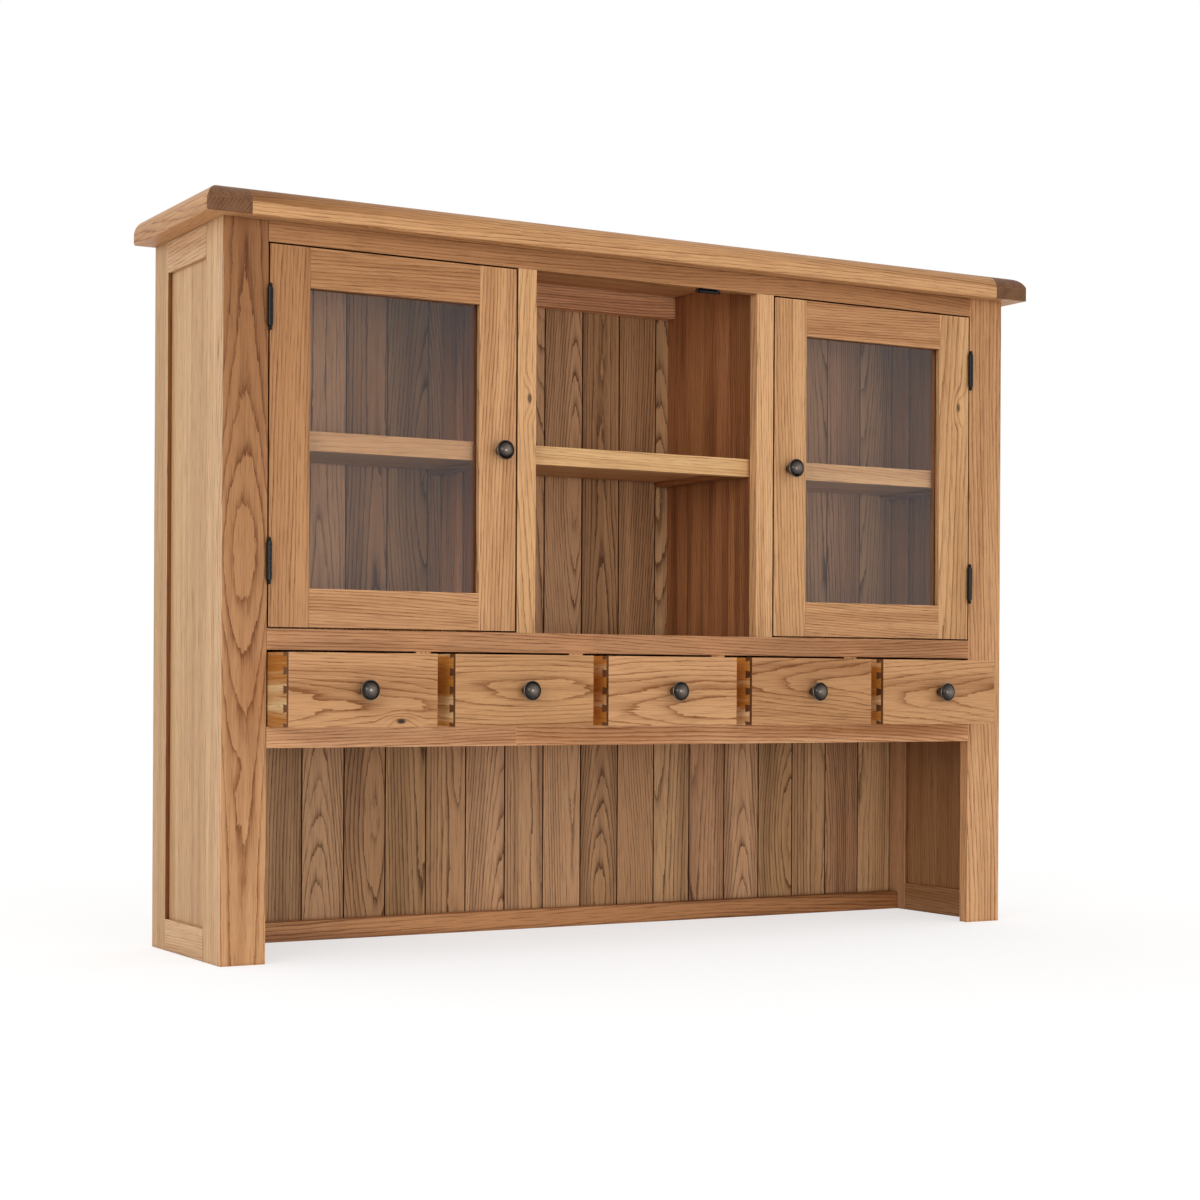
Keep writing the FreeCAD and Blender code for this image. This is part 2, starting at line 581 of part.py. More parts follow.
def make_doors():
    """Left door with its hinges, catch and strike, and the right door as its mirror image."""
    left = -STILE_INNER + DOOR_GAP
    right = -MULLION_OUTER - DOOR_LOCK_GAP
    sight_left = left + DOOR_STILE
    sight_right = right - DOOR_STILE
    sight_low = DOOR_BOTTOM + DOOR_BOTTOM_RAIL
    sight_high = DOOR_TOP - DOOR_TOP_RAIL
    bars = [(sight_left, sight_right, 0, DOOR_THICKNESS, sight_high, DOOR_TOP),
            (sight_left, sight_right, 0, DOOR_THICKNESS, DOOR_BOTTOM, sight_low)]
    tenons = [tenon_across(*size, TENON_LENGTH) for size in bars]
    lap = GLASS_REBATE
    rebate = block(sight_left - lap, sight_right + lap, GLASS_SETBACK, DOOR_THICKNESS,
                   sight_low - lap, sight_high + lap)
    hinges = [make_hinge(z) for z in (DOOR_BOTTOM + HINGE_BOTTOM_INSET, DOOR_TOP - HINGE_TOP_INSET)]
    door_holes = [hole for hinge in hinges for hole in hinge["door_holes"]]
    frame_holes = [hole for hinge in hinges for hole in hinge["frame_holes"]]
    hinge_stile = timber(left, sight_left, 0, DOOR_THICKNESS, DOOR_BOTTOM, DOOR_TOP, ALONG_Z)
    lock_stile = timber(sight_right, right, 0, DOOR_THICKNESS, DOOR_BOTTOM, DOOR_TOP, ALONG_Z)
    knob_x = right - KNOB_LOCK_INSET
    knob_z = (DOOR_BOTTOM + DOOR_TOP) / 2 - KNOB_DROP
    recess = KNOB_SCREW_HEAD_HEIGHT
    knob_spot = (knob_x, 0, knob_z, DOOR_THICKNESS, recess)
    rails = []
    for size, tenon in zip(bars, tenons):
        rails.append(timber(*size, ALONG_X).fuse(tenon).removeSplitter().cut(rebate))
    edge = lap - GLASS_EDGE_PLAY
    glass = block(sight_left - edge, sight_right + edge, GLASS_SETBACK, GLASS_SETBACK + GLASS_THICKNESS,
                  sight_low - edge, sight_high + edge)
    bead_depth = (GLASS_SETBACK + GLASS_THICKNESS, DOOR_THICKNESS)
    beads = []
    for x0 in (sight_left - lap, sight_right):
        beads.append(block(x0, x0 + lap, *bead_depth, sight_low - lap, sight_high + lap))
    for z0 in (sight_low - lap, sight_high):
        beads.append(block(sight_left, sight_right, *bead_depth, z0, z0 + lap))
    catch_z = DOOR_TOP - CATCH_DROP
    catch_left = -PARTITION_OUTER - CATCH_WIDTH
    strike = block(catch_left, right - STRIKE_MARGIN, DOOR_THICKNESS, DOOR_THICKNESS + STRIKE_THICKNESS,
                   catch_z - CATCH_HEIGHT / 2, catch_z + CATCH_HEIGHT / 2)
    catch_front = DOOR_THICKNESS + STRIKE_THICKNESS + CATCH_GAP
    catch = block(catch_left, -PARTITION_OUTER, catch_front, catch_front + CATCH_DEPTH,
                  catch_z - CATCH_HEIGHT / 2, catch_z + CATCH_HEIGHT / 2)
    pieces = {
        "hinge_stile": [cut_all(hinge_stile, tenons + [rebate] + door_holes)],
        "lock_stile": [cut_all(lock_stile, tenons + [rebate, knob_hole(*knob_spot)])],
        "rails": rails,
        "glass": [glass],
        "beads": beads,
        "knob": knob_and_screw(*knob_spot),
        "hinge_leaves": [piece for hinge in hinges for piece in hinge["door"]],
        "strike": [strike],
    }
    for name, shapes in pieces.items():
        save("left_door_" + name, shapes)
        save("right_door_" + name, mirrored(shapes))
    leaves = [piece for hinge in hinges for piece in hinge["frame"]]
    pins = [piece for hinge in hinges for piece in hinge["pin"]]
    save("hinge_frame_leaves", leaves + mirrored(leaves))
    save("hinge_pins", pins + mirrored(pins))
    save("door_catches", [catch] + mirrored([catch]))
    return frame_holes


def make_drawer(index):
    """One drawer: dovetailed front and sides, back, bottom in grooves, and a knob."""
    left = -STILE_INNER + index * (DRAWER_OPENING_WIDTH + DIVIDER_WIDTH) + DRAWER_SIDE_GAP
    right = left + DRAWER_OPENING_WIDTH - 2 * DRAWER_SIDE_GAP
    low = DRAWER_FLOOR_Z + DRAWER_LIFT
    high = MID_RAIL_Z - DRAWER_TOP_GAP
    length = BACK_FRONT - DRAWER_BACK_GAP
    side = DRAWER_SIDE_THICKNESS
    floor_low = low + DRAWER_BOTTOM_HEIGHT
    floor_high = floor_low + DRAWER_BOTTOM_THICKNESS
    groove = DRAWER_GROOVE_DEPTH
    bottom = block(left + side - groove, right - side + groove, DRAWER_FRONT_THICKNESS - groove, length,
                   floor_low, floor_high)
    pitch = (high - low) / TAIL_COUNT
    sides = []
    tails = []
    for x0 in (left, right - side):
        panel = block(x0, x0 + side, DRAWER_FRONT_THICKNESS, length, low, high)
        for number in range(TAIL_COUNT):
            middle = low + (number + 0.5) * pitch
            root = pitch * TAIL_SHARE / 2
            tip = root + TAIL_FLARE
            corners = [(TAIL_LAP, middle - tip), (TAIL_LAP, middle + tip),
                       (DRAWER_FRONT_THICKNESS, middle + root), (DRAWER_FRONT_THICKNESS, middle - root)]
            outline = [Vector(x0, FACE_Y + y, z) for y, z in corners]
            tail = prism(outline, Vector(side, 0, 0))
            tails.append(tail)
            panel = panel.fuse(tail)
        sides.append(panel.removeSplitter().cut(bottom))
    knob_spot = ((left + right) / 2, 0, (low + high) / 2, DRAWER_FRONT_THICKNESS, 0)
    front = block(left, right, 0, DRAWER_FRONT_THICKNESS, low, high)
    face_edges = [edge for edge in front.Edges if edge.BoundBox.YMax < FACE_Y + EDGE_EASE]
    front = front.makeFillet(EDGE_EASE, face_edges)
    front = cut_all(front, tails + [bottom, knob_hole(*knob_spot)])
    back = block(left + side, right - side, length - DRAWER_BACK_THICKNESS, length, floor_high, high)
    pieces = {"front": [front], "box": sides + [back, bottom], "knob": knob_and_screw(*knob_spot)}
    pull = Vector(0, -DRAWER_PULLS[index], 0)
    for name, shapes in pieces.items():
        save("drawer_%d_%s" % (index + 1, name), [shape.translated(pull) for shape in shapes])


def make_rail_fitting():
    """Small barrel with a ball at each end, on a plate under the top rail of the centre bay."""
    plate_low = TOP_RAIL_Z - FITTING_PLATE_THICKNESS
    axis_z = plate_low - FITTING_DROP
    right = FITTING_LEFT + FITTING_LENGTH
    plate = block(FITTING_LEFT, right, FITTING_SETBACK - FITTING_PLATE_WIDTH / 2,
                  FITTING_SETBACK + FITTING_PLATE_WIDTH / 2, plate_low, TOP_RAIL_Z)
    barrel = cylinder(FITTING_LEFT, FITTING_SETBACK, axis_z, ALONG_X, FITTING_RADIUS, FITTING_LENGTH)
    pieces = [barrel]
    for end, out in ((FITTING_LEFT, -1), (right, 1)):
        neck = cylinder(end, FITTING_SETBACK, axis_z, ALONG_X * out, FITTING_NECK_RADIUS, FITTING_BALL_REACH)
        centre = Vector(end + out * FITTING_BALL_REACH, FACE_Y + FITTING_SETBACK, axis_z)
        pieces += [neck, Part.makeSphere(FITTING_BALL_RADIUS, centre)]
    save("rail_fitting", [plate.fuse(pieces).removeSplitter()])


os.makedirs("parts", exist_ok=True)
make_top()
stile_screw_holes = make_doors()
make_face_frame(stile_screw_holes)
make_side_frames()
make_partitions()
make_floors()
make_back()
make_shelves()
make_rail_fitting()
for drawer_index in range(DRAWER_COUNT):
    make_drawer(drawer_index)
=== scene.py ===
import json
import math
import random

import bmesh
import bpy
from bpy.props import FloatProperty, FloatVectorProperty, IntProperty, PointerProperty
from mathutils import Matrix, Vector

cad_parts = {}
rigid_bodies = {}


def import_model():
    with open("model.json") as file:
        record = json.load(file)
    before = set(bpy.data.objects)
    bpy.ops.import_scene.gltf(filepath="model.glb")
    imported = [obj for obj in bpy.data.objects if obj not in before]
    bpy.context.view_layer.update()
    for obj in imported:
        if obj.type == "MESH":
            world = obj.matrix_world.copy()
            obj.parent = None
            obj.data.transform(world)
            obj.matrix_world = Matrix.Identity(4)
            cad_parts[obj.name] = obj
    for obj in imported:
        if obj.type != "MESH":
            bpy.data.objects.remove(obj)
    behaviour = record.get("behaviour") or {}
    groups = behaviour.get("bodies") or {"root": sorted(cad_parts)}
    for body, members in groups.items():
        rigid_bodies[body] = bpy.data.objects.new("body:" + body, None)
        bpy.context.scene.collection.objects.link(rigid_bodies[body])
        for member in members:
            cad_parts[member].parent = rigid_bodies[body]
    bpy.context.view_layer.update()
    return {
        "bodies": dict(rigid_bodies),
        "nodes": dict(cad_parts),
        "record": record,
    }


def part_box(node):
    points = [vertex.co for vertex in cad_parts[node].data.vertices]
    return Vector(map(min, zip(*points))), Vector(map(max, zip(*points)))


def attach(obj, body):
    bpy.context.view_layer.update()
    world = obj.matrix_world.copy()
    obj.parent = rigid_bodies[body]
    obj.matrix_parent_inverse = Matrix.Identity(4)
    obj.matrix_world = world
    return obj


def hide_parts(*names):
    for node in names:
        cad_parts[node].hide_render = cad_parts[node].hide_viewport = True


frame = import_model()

bl_info = {
    "name": "Oak hutch",
    "version": (1, 0, 0),
    "blender": (4, 5, 0),
    "location": "View3D > Sidebar > Hutch",
    "description": "Builds the oak, glass, ironwork and stage of a hutch around its fixed frame",
    "category": "Object",
}

# What the frame says about every node: the body that carries it and the slot of its finish
BODY_OF = {node: body for body, nodes in frame["record"]["behaviour"]["bodies"].items() for node in nodes}
SLOT_OF = {part["node"]: part["material_slot"] for part in frame["record"]["subparts"]}
DRAWERS = sorted(body for body in frame["bodies"] if body.startswith("drawer_"))
DOORS = ("left_door", "right_door")

# Names of what boards and knobs carry for their finish, point by point or face by face
LOCAL = "local"
HALF = "half"
HEART = "heart"
LOOK = "look"
KNOT = "knot"
FIGURE = "figure"
END = "end"
# Stain, which also carries painted shade on inner faces, in recesses and on the tongues between matchboards
STAIN_AND_SHADE = "stain"
# Rubbing, which also carries a painted highlight on the knobs
RUB_AND_HIGHLIGHT = "rub"
VECTOR_MARKS = (LOCAL, HALF, HEART, LOOK, KNOT, FIGURE)

# Mesh work: digits of a place that count, angle below which faces are one flat, angles beyond which an edge
# stays sharp and beyond which it is eased, and steps of an eased edge and of a turned ring
WELD_DIGITS = 6
FLAT_ANGLE = math.radians(0.5)
SHARP_ANGLE = math.radians(40)
EASE_ANGLE = math.radians(60)
EASE_SEGMENTS = 2
TURN_STEPS = 40

# Axes of the room, and how far a normal has to lie along one to face that way
X, Y, Z = range(3)
FACING = 0.8

# Noise of the oak: waves per metre along, across and through the grain, octaves and roughness
SLOW_NOISE = ((2.6, 17.0, 17.0), 2.0, 0.5)
QUICK_NOISE = ((18.0, 130.0, 130.0), 5.0, 0.65)
STREAK_NOISE = ((1.1, 60.0, 60.0), 3.0, 0.6)
BAND_NOISE = ((1.3, 24.0, 24.0), 2.0, 0.5)
PORE_NOISE = ((20.0, 620.0, 620.0), 2.0, 0.6)

# Outputs of the oak's figure
FIGURE_PARTS = ("Rings", "Streaks", "Bands", "Pores", "Knots")

# Growth rings: ruffle as a share of their width, least width, brake on the log's swelling, how fast the dark
# early wood starts and fades within a year, and spread and least of the strength of a year
RUFFLE_SHARE = 0.8
LEAST_RING = 0.001
SWELL_BRAKE = 30.0
EARLY_START = 0.05
EARLY_FADE = 4.6
YEAR_SPREAD = 0.9
YEAR_LEAST = 0.5

# Knots: squash along the grain, reach and size of the bend in the rings, and where the core fades
KNOT_SQUASH = 0.5
KNOT_REACH = 0.022
KNOT_BEND = 0.009
KNOT_CORE = (0.0018, 0.0052)

# What the oak's colour is multiplied by, and the colour of a knot's core
PORE_SHADE = (0.55, 0.46, 0.40)
END_SHADE = (0.32, 0.27, 0.26)
# Edges lighten with wear and with a painted highlight
WEAR_AND_HIGHLIGHT_TINT = (1.2, 1.22, 1.24)
# Stain and painted shade darken towards this colour
STAIN_AND_SHADE_TINT = (0.38, 0.23, 0.14)
# Colour of the painted shade in crevices and joints
CREVICE_SHADE_TINT = (0.16, 0.09, 0.06)
BLEACH_SHADE = (1.1, 1.28, 1.5)
KNOT_SCREEN = (58, 38, 24)

# Middle and depth of the streaks, depth of the pores and their least share away from the early wood
STREAK_MIDDLE = 0.44
STREAK_DEPTH = 1.5
PORE_DEPTH = 0.75
PORE_LEAST = 0.35

# Surface of the oak: relief of rings and pores, and what pores and streaks add to its roughness
RING_RELIEF = -0.35
PORE_RELIEF = -0.8
PORE_ROUGHNESS = 0.18
STREAK_ROUGHNESS = 0.08

# Powers of a board's tone in red, green and blue, so that darker wood is also redder, and the least tone
TONE_POWERS = (1.0, 1.3, 1.7)
LEAST_TONE = 0.05

# Depth of the rings, roughness and depth of the broad bands in each kind of oak
OAKS = {
    "oak_face": (1.0, 0.42, 0.16),
    "oak_top": (1.0, 0.42, 0.16),
    "oak_side": (0.8, 0.44, 0.1),
    "oak_inner": (1.1, 0.46, 0.45),
    "oak_back": (1.2, 0.46, 0.2),
    "oak_shelf": (0.8, 0.44, 0.12),
    "oak_drawer": (0.3, 0.5, 0.45),
}

# Edges lightened partly by wear and partly as a painted highlight: reach, spread of the reach and share of
# wear and highlight
WEAR_AND_HIGHLIGHT_REACH = 0.0022
WEAR_AND_HIGHLIGHT_SPREAD = (0.3, 1.6)
WEAR_AND_HIGHLIGHT_SHARE = 0.6

# Noise in the worn and highlighted edges, metal, plastic, glass and the floor, in the same terms
EDGE_NOISE = ((60.0, 60.0, 60.0), 3.0, 0.5)
PATCH_NOISE = ((160.0, 160.0, 160.0), 3.0, 0.5)
DUST_NOISE = ((160.0, 160.0, 160.0), 4.0, 0.65)
SCRATCH_NOISE = ((900.0, 900.0, 2600.0), 2.0, 0.5)
MOULD_NOISE = ((900.0, 900.0, 900.0), 3.0, 0.5)
SMEAR_NOISE = ((9.0, 9.0, 5.0), 4.0, 0.6)
GLASS_NOISE = ((3.0, 3.0, 2.0), 1.0, 0.5)
MOTTLE_NOISE = ((3.0, 3.0, 3.0), 3.0, 0.5)

# Levels of a noise or a share between which something fades in or out
PORE_LEVELS = (0.5, 0.64)
BAND_LEVELS = (0.35, 0.65)
EDGE_LEVELS = (0.3, 0.75)
# The crevice levels fade the painted shade in crevices by how closed in the surface is
CREVICE_LEVELS = (0.12, 0.55)
DUST_LEVELS = (0.45, 0.8)
SMEAR_LEVELS = (0.55, 0.85)
MOTTLE_LEVELS = (0.3, 0.7)

# Strength and depth of the relief on oak, iron, plastic and glass, and depth of the scratches in metal
OAK_BUMP = (0.35, 0.0004)
IRON_BUMP = (0.2, 0.0003)
CATCH_BUMP = (0.3, 0.0002)
GLASS_BUMP = (0.05, 0.002)
SCRATCH_DEPTH = 0.0001

# Roughness of iron, plastic and glass, clean and smeared, and what patches, dust and grain add
IRON_ROUGHNESS = 0.14
CATCH_ROUGHNESS = 0.42
GLASS_ROUGHNESS = (0.01, 0.05)
PATCH_ROUGHNESS = 0.12
DUST_ROUGHNESS = 0.14
GRAIN_ROUGHNESS = 0.15

# Share of rubbing that the patches in metal add
PATCH_RUB = 0.3

# Spans of the heart's place from the middle of a board, along, across and through the grain: near the middle
# for boards sawn through the crown, with the span across in half widths, and to one side for rift boards
CROWN_HEART = ((-0.6, 0.6), (-0.4, 0.4), (0.03, 0.06))
RIFT_HEART = ((-0.7, 0.7), (0.06, 0.2), (0.04, 0.14))

# Chance between like boards: spread of tone, of hue and of ring width
TONE_SPREAD = 0.05
HUE_SPREAD = 0.003
RING_SPREAD = (0.8, 1.25)

# Slope from the grain at which end grain starts to show, and the further slope to all of it
END_START = 0.2
END_SPAN = 0.3

# Chance between matchboards: least and most of the heart's place, of the look and of the figure, and the
# width of their tongues as a share of the pitch
BOARD_SEED = 11
BOARD_TRAITS = {
    "Heart": ((-0.7, -0.06, 0.02), (0.7, 0.06, 0.06)),
    "Look": ((-0.12, -0.006, -0.1), (0.16, 0.006, 0.15)),
    "Figure": ((0.0036, 0.008, 0.25), (0.006, 0.015, 0.7)),
}
TONGUE_SHARE = 1 / 6

# Widths of the staves in glued-up boards
TOP_STAVE = 0.11
PANEL_STAVE = 0.07
PARTITION_STAVE = 0.065
FLOOR_STAVE = 0.08

# Upper layer of the top: where it is ripped into strips, how far off the hearts of their logs lie, and for
# each strip the place of its butt joint and the tones and falls of its two lengths
TOP_RIPS = (-0.02, 0.06, 0.12)
TOP_HEART = (0.11, 0.09)
TOP_STRIPS = (
    (-0.24, (-0.36, -0.1), (0.26, 0.0)),
    (0.2, (0.0, -0.15), (0.0, 0.0)),
    (-0.1, (-0.1, 0.05), (0.0, 0.0)),
    (0.33, (0.05, -0.1), (0.0, 0.0)),
)

# Tones of the drawer fronts from left to right
FRONT_TONES = (-0.06, -0.15, -0.03, -0.14, -0.09)

# Boxes of the first drawer, which is of pale wood, and of the others, whose dark golden colour is partly the
# wood's and partly painted shade between the drawers
PALE_BOX = {"deep": 0.3, "tone": -0.03}
GOLDEN_SHADED_BOX = {"deep": 0.95, "tone": 0.4}

# Shares of painted shade on the inner faces of the sides and in the recess of their panels
INNER_PAINTED_SHADE = 0.6
RECESS_PAINTED_SHADE = 1.0

# Nails and pins: rows above the bottom and below the top of the back rails, sink and stand of a nail's
# head, sides of a head, stand of a pin's head and its distance from the edge of its bead
NAIL_ROW_LOW = 0.015
NAIL_ROW_HIGH = 0.018
NAIL_SINK = 0.0002
NAIL_STAND = 0.001
HEAD_SIDES = 10
PIN_STAND = 0.0005
PIN_INSET = 0.004

# Knobs: height, bead and share of rubbing and painted highlight of the foot, bulge and steps of the conical
# back, and steps of the dome and the power of its rubbing and painted highlight, strongest at the crown
FOOT_HEIGHT = 0.002
FOOT_BEAD = 0.0002
FOOT_RUB_AND_HIGHLIGHT = 0.1
BACK_BULGE = 0.0007
BACK_SHARES = (0.25, 0.5, 0.75, 1.0)
DOME_STEPS = 8
DOME_RUB_AND_HIGHLIGHT_POWER = 1.4

# Points of a knob's rim and groove as steps outwards and forwards, with their shares of rubbing and painted
# highlight, below nothing in the groove for patina and painted shade: behind the rim's edge from the end of
# the back, in front of it and in the groove from the start of the dome
RIM_BACK = ((-0.0004, 0.0003, 0.0), (0.0, 0.0009, 0.15), (0.0, 0.0014, 0.2))
RIM_FRONT = ((-0.0005, -0.0001, 0.45), (-0.0012, 0.0001, 0.4))
GROOVE = (0.0004, -0.0006, -0.3)

# Half the width of the floor, and the point that the lamps are aimed at
FLOOR_REACH = 15.0
LAMP_AIM = (0.0, 0.0, 0.5)


def srgb(red, green, blue):
    """Linear colour of a screen colour given from 0 to 255."""
    def linear(level):
        share = level / 255
        return share / 12.92 if share <= 0.04045 else ((share + 0.055) / 1.055) ** 2.4
    return (linear(red), linear(green), linear(blue))


def shade(name, words, red, green, blue):
    """Colour property with a screen colour as its default."""
    return FloatVectorProperty(name=name, description=words, default=srgb(red, green, blue),
                               subtype="COLOR", min=0.0, max=1.0)


def length(name, words, default):
    """Length property in metres."""
    return FloatProperty(name=name, description=words, default=default, unit="LENGTH", precision=5)


def amount(name, words, default):
    """Plain number property."""
    return FloatProperty(name=name, description=words, default=default)


def spot(name, words, *default):
    """Property of a point in the room."""
    return FloatVectorProperty(name=name, description=words, default=default, subtype="TRANSLATION")


def bearing(name, words, default):
    """Angle property in radians."""
    return FloatProperty(name=name, description=words, default=default, subtype="ANGLE")


class HutchSizes(bpy.types.PropertyGroup):
    """Sizes of what the scene adds to the frame."""
    edge_ease: length("Edge ease", "Rounding of the sharp edges of panels and drawer sides", 0.0005)
    ring_width: length("Ring width", "Mean width of one year's growth in the oak", 0.0046)
    ring_wander: length("Ring wander", "How far the growth rings stray from true circles", 0.012)
    ring_bow: amount("Ring bow", "How fast a log thickens away from its waist, per metre", 0.2)
    # Reach of the painted shade in crevices and joints
    crevice_reach: length("Crevice reach", "How far a neighbour has to be for its joint to stay clean", 0.012)
    # Reach of the patina and painted shade in the groove of a knob
    groove_reach: length("Groove reach", "How wide a groove in a knob may be and still hold patina", 0.0014)
    lamina: length("Lamina", "Height of the lower layer of the glued-up top", 0.018)
    board_count: IntProperty(name="Back boards", description="Number of matchboards in the back", default=19)
    board_gap: length("Board gap", "Gap between two matchboards", 0.0023)
    board_vee: length("Board vee", "Chamfer on the front edges of a matchboard", 0.0005)
    tongue_thickness: length("Tongue", "Thickness of the tongue in the joint of two matchboards", 0.004)
    nail_radius: length("Nail head", "Radius of a back nail's head", 0.0016)
    nail_spread: length("Nail spread", "Half the distance between the two nails in a board", 0.021)
    pin_radius: length("Panel pin", "Radius of a glazing bead's pin head", 0.0007)
    pin_pitch: length("Pin pitch", "Distance between the pins in a glazing bead", 0.09)
    knob_dome: length("Knob dome", "Radius of a knob's dome where it meets the groove", 0.0122)
    knob_dome_rise: length("Knob dome rise", "Height of a knob's dome above the groove", 0.0073)
    knob_foot: length("Knob foot", "Radius of a knob's foot", 0.0062)
    knob_flare: length("Knob flare", "Radius of a knob's conical back where it meets the rim", 0.0134)
    knob_rim: length("Knob rim", "Height of a knob's rim", 0.0022)


class HutchFinishes(bpy.types.PropertyGroup):
    """Colours of the oak, the metal and the glass."""
    face_light: shade("Face light", "Pale wood of the front", 211, 160, 111)
    face_dark: shade("Face dark", "Dark rings of the front", 143, 90, 44)
    top_light: shade("Top light", "Pale wood of the top", 208, 157, 107)
    top_dark: shade("Top dark", "Dark rings of the top", 142, 88, 44)
    side_light: shade("Side light", "Pale wood of the sides", 220, 178, 132)
    side_dark: shade("Side dark", "Dark rings of the sides", 170, 118, 72)
    inner_light: shade("Inner light", "Pale wood of the partitions and floors", 180, 122, 78)
    inner_dark: shade("Inner dark", "Dark rings of the partitions and floors", 112, 64, 34)
    back_light: shade("Back light", "Pale wood of the back boards", 200, 154, 111)
    back_dark: shade("Back dark", "Dark rings of the back boards", 112, 75, 47)
    shelf_light: shade("Shelf light", "Pale wood of the shelves", 219, 174, 122)
    shelf_dark: shade("Shelf dark", "Dark rings of the shelves", 176, 124, 74)
    drawer_light: shade("Drawer light", "Pale wood of the drawer sides", 236, 208, 158)
    drawer_dark: shade("Drawer dark", "Golden streaks of the drawer sides", 176, 110, 42)
    # Pewter is the colour where knobs are rubbed and where a highlight is painted on them
    pewter: shade("Pewter", "Knobs where hands have rubbed them", 131, 121, 112)
    patina: shade("Patina", "Knobs in their hollows", 38, 33, 31)
    iron: shade("Iron", "Hinges and the rail fitting", 13, 12, 12)
    steel: shade("Steel", "Screws, nails and strike plates", 150, 150, 150)
    catch: shade("Catch", "Moulded door catches", 92, 60, 38)
    glass: shade("Glass", "Tint of the door panes", 236, 232, 230)


class HutchStage(bpy.types.PropertyGroup):
    """Camera, lamps and floor."""
    camera_place: spot("Camera", "Place of the camera", -1.83394, -3.11681, 0.39542)
    camera_yaw: bearing("Yaw", "Turn of the camera to the right of straight ahead", math.radians(30))
    camera_roll: bearing("Roll", "Tilt of the camera about its own line of sight", 0.0052)
    camera_lens: amount("Lens", "Focal length in millimetres on a 36 mm sensor", 69.06)
    camera_rise: amount("Rise", "Upward shift of the frame", 0.07)
    key_place: spot("Key place", "Place of the lamp at the front left", -3.7, -2.9, 1.6)
    key_size: length("Key size", "Width of the lamp at the front left", 1.8)
    key_power: amount("Key", "Power of the lamp at the front left", 36.0)
    low_place: spot("Low place", "Place of the low lamp in front", -0.5, -4.2, 0.45)
    low_size: length("Low size", "Width of the low lamp in front", 0.8)
    low_power: amount("Low", "Power of the low lamp in front", 25.0)
    sky_level: amount("Sky", "Level of the light from all round", 0.78)
    floor_shade: shade("Floor", "Colour of the floor", 240, 240, 240)
    floor_glow: amount("Floor glow", "Share of the floor's own white, which no shadow darkens", 0.45)
    floor_white: amount("Floor white", "Level of the floor's own white", 1.4)
    fade_start: length("Fade start", "Distance from the middle where the floor starts to turn white", 1.0)
    fade_end: length("Fade end", "Distance from the middle where the floor is all white", 2.4)


def sizes():
    """Sizes set in the sidebar."""
    return bpy.context.scene.hutch_sizes


def finishes():
    """Colours set in the sidebar."""
    return bpy.context.scene.hutch_finishes


class Nodes:
    """Short way to add nodes to one tree and to join them."""

    def __init__(self, tree):
        self.tree = tree

    def add(self, kind, sockets=None, **settings):
        """New node with its settings, and values or links in its sockets."""
        node = self.tree.nodes.new(kind)
        for key, value in settings.items():
            setattr(node, key, value)
        for key, value in (sockets or {}).items():
            self.feed(node.inputs[key], value)
        return node

    def feed(self, socket, value):
        """Link a socket to another one, or set it to a plain value or to a colour with or without alpha."""
        if isinstance(value, bpy.types.NodeSocket):
            self.tree.links.new(value, socket)
        elif socket.type == "RGBA" and len(value) == 3:
            socket.default_value = (*value, 1.0)
        else:
            socket.default_value = value

    def math(self, operation, first, second=0.0, third=0.0, clamp=False):
        """Output of a Math node."""
        node = self.add("ShaderNodeMath", {0: first, 1: second, 2: third}, operation=operation,
                        use_clamp=clamp)
        return node.outputs[0]

    def vector(self, operation, first, second=(0.0, 0.0, 0.0)):
        """Vector output of a Vector Math node."""
        return self.add("ShaderNodeVectorMath", {0: first, 1: second}, operation=operation).outputs["Vector"]

    def long(self, vector):
        """Length of a vector."""
        return self.add("ShaderNodeVectorMath", {0: vector}, operation="LENGTH").outputs["Value"]

    def parts(self, vector):
        """Three parts of a vector."""
        return self.add("ShaderNodeSeparateXYZ", {0: vector}).outputs

    def join(self, x, y, z):
        """Vector of three parts."""
        return self.add("ShaderNodeCombineXYZ", {0: x, 1: y, 2: z}).outputs[0]

    def noise(self, vector, waves, octaves, roughness):
        """Smooth noise from 0 to 1, with a number of waves per unit of the vector."""
        node = self.add("ShaderNodeTexNoise", {"Vector": self.vector("MULTIPLY", vector, waves), "Scale": 1.0,
                                               "Detail": octaves, "Roughness": roughness})
        return node.outputs[0]

    def ramp(self, value, low, high, first=0.0, last=1.0):
        """Value eased from first to last as it goes from low to high."""
        node = self.add("ShaderNodeMapRange", {0: value, 1: low, 2: high, 3: first, 4: last},
                        interpolation_type="SMOOTHSTEP", clamp=True)
        return node.outputs[0]

    def mix(self, share, first, second, blend="MIX"):
        """Colour between two others."""
        node = self.add("ShaderNodeMix", {0: share, 6: first, 7: second}, data_type="RGBA", blend_type=blend,
                        clamp_factor=True)
        return node.outputs[2]

    def mark(self, name):
        """Vector that a board carries under a name."""
        return self.add("ShaderNodeAttribute", attribute_name=name).outputs["Vector"]

    def share(self, name):
        """Share that a board or a knob carries under a name."""
        return self.add("ShaderNodeAttribute", attribute_name=name).outputs["Fac"]

    def between(self, share, first, second):
        """Shader between two others."""
        return self.add("ShaderNodeMixShader", {0: share, 1: first.outputs[0], 2: second.outputs[0]})

    def here(self):
        """Point of the surface in the coordinates of its object."""
        return self.add("ShaderNodeTexCoord").outputs["Object"]


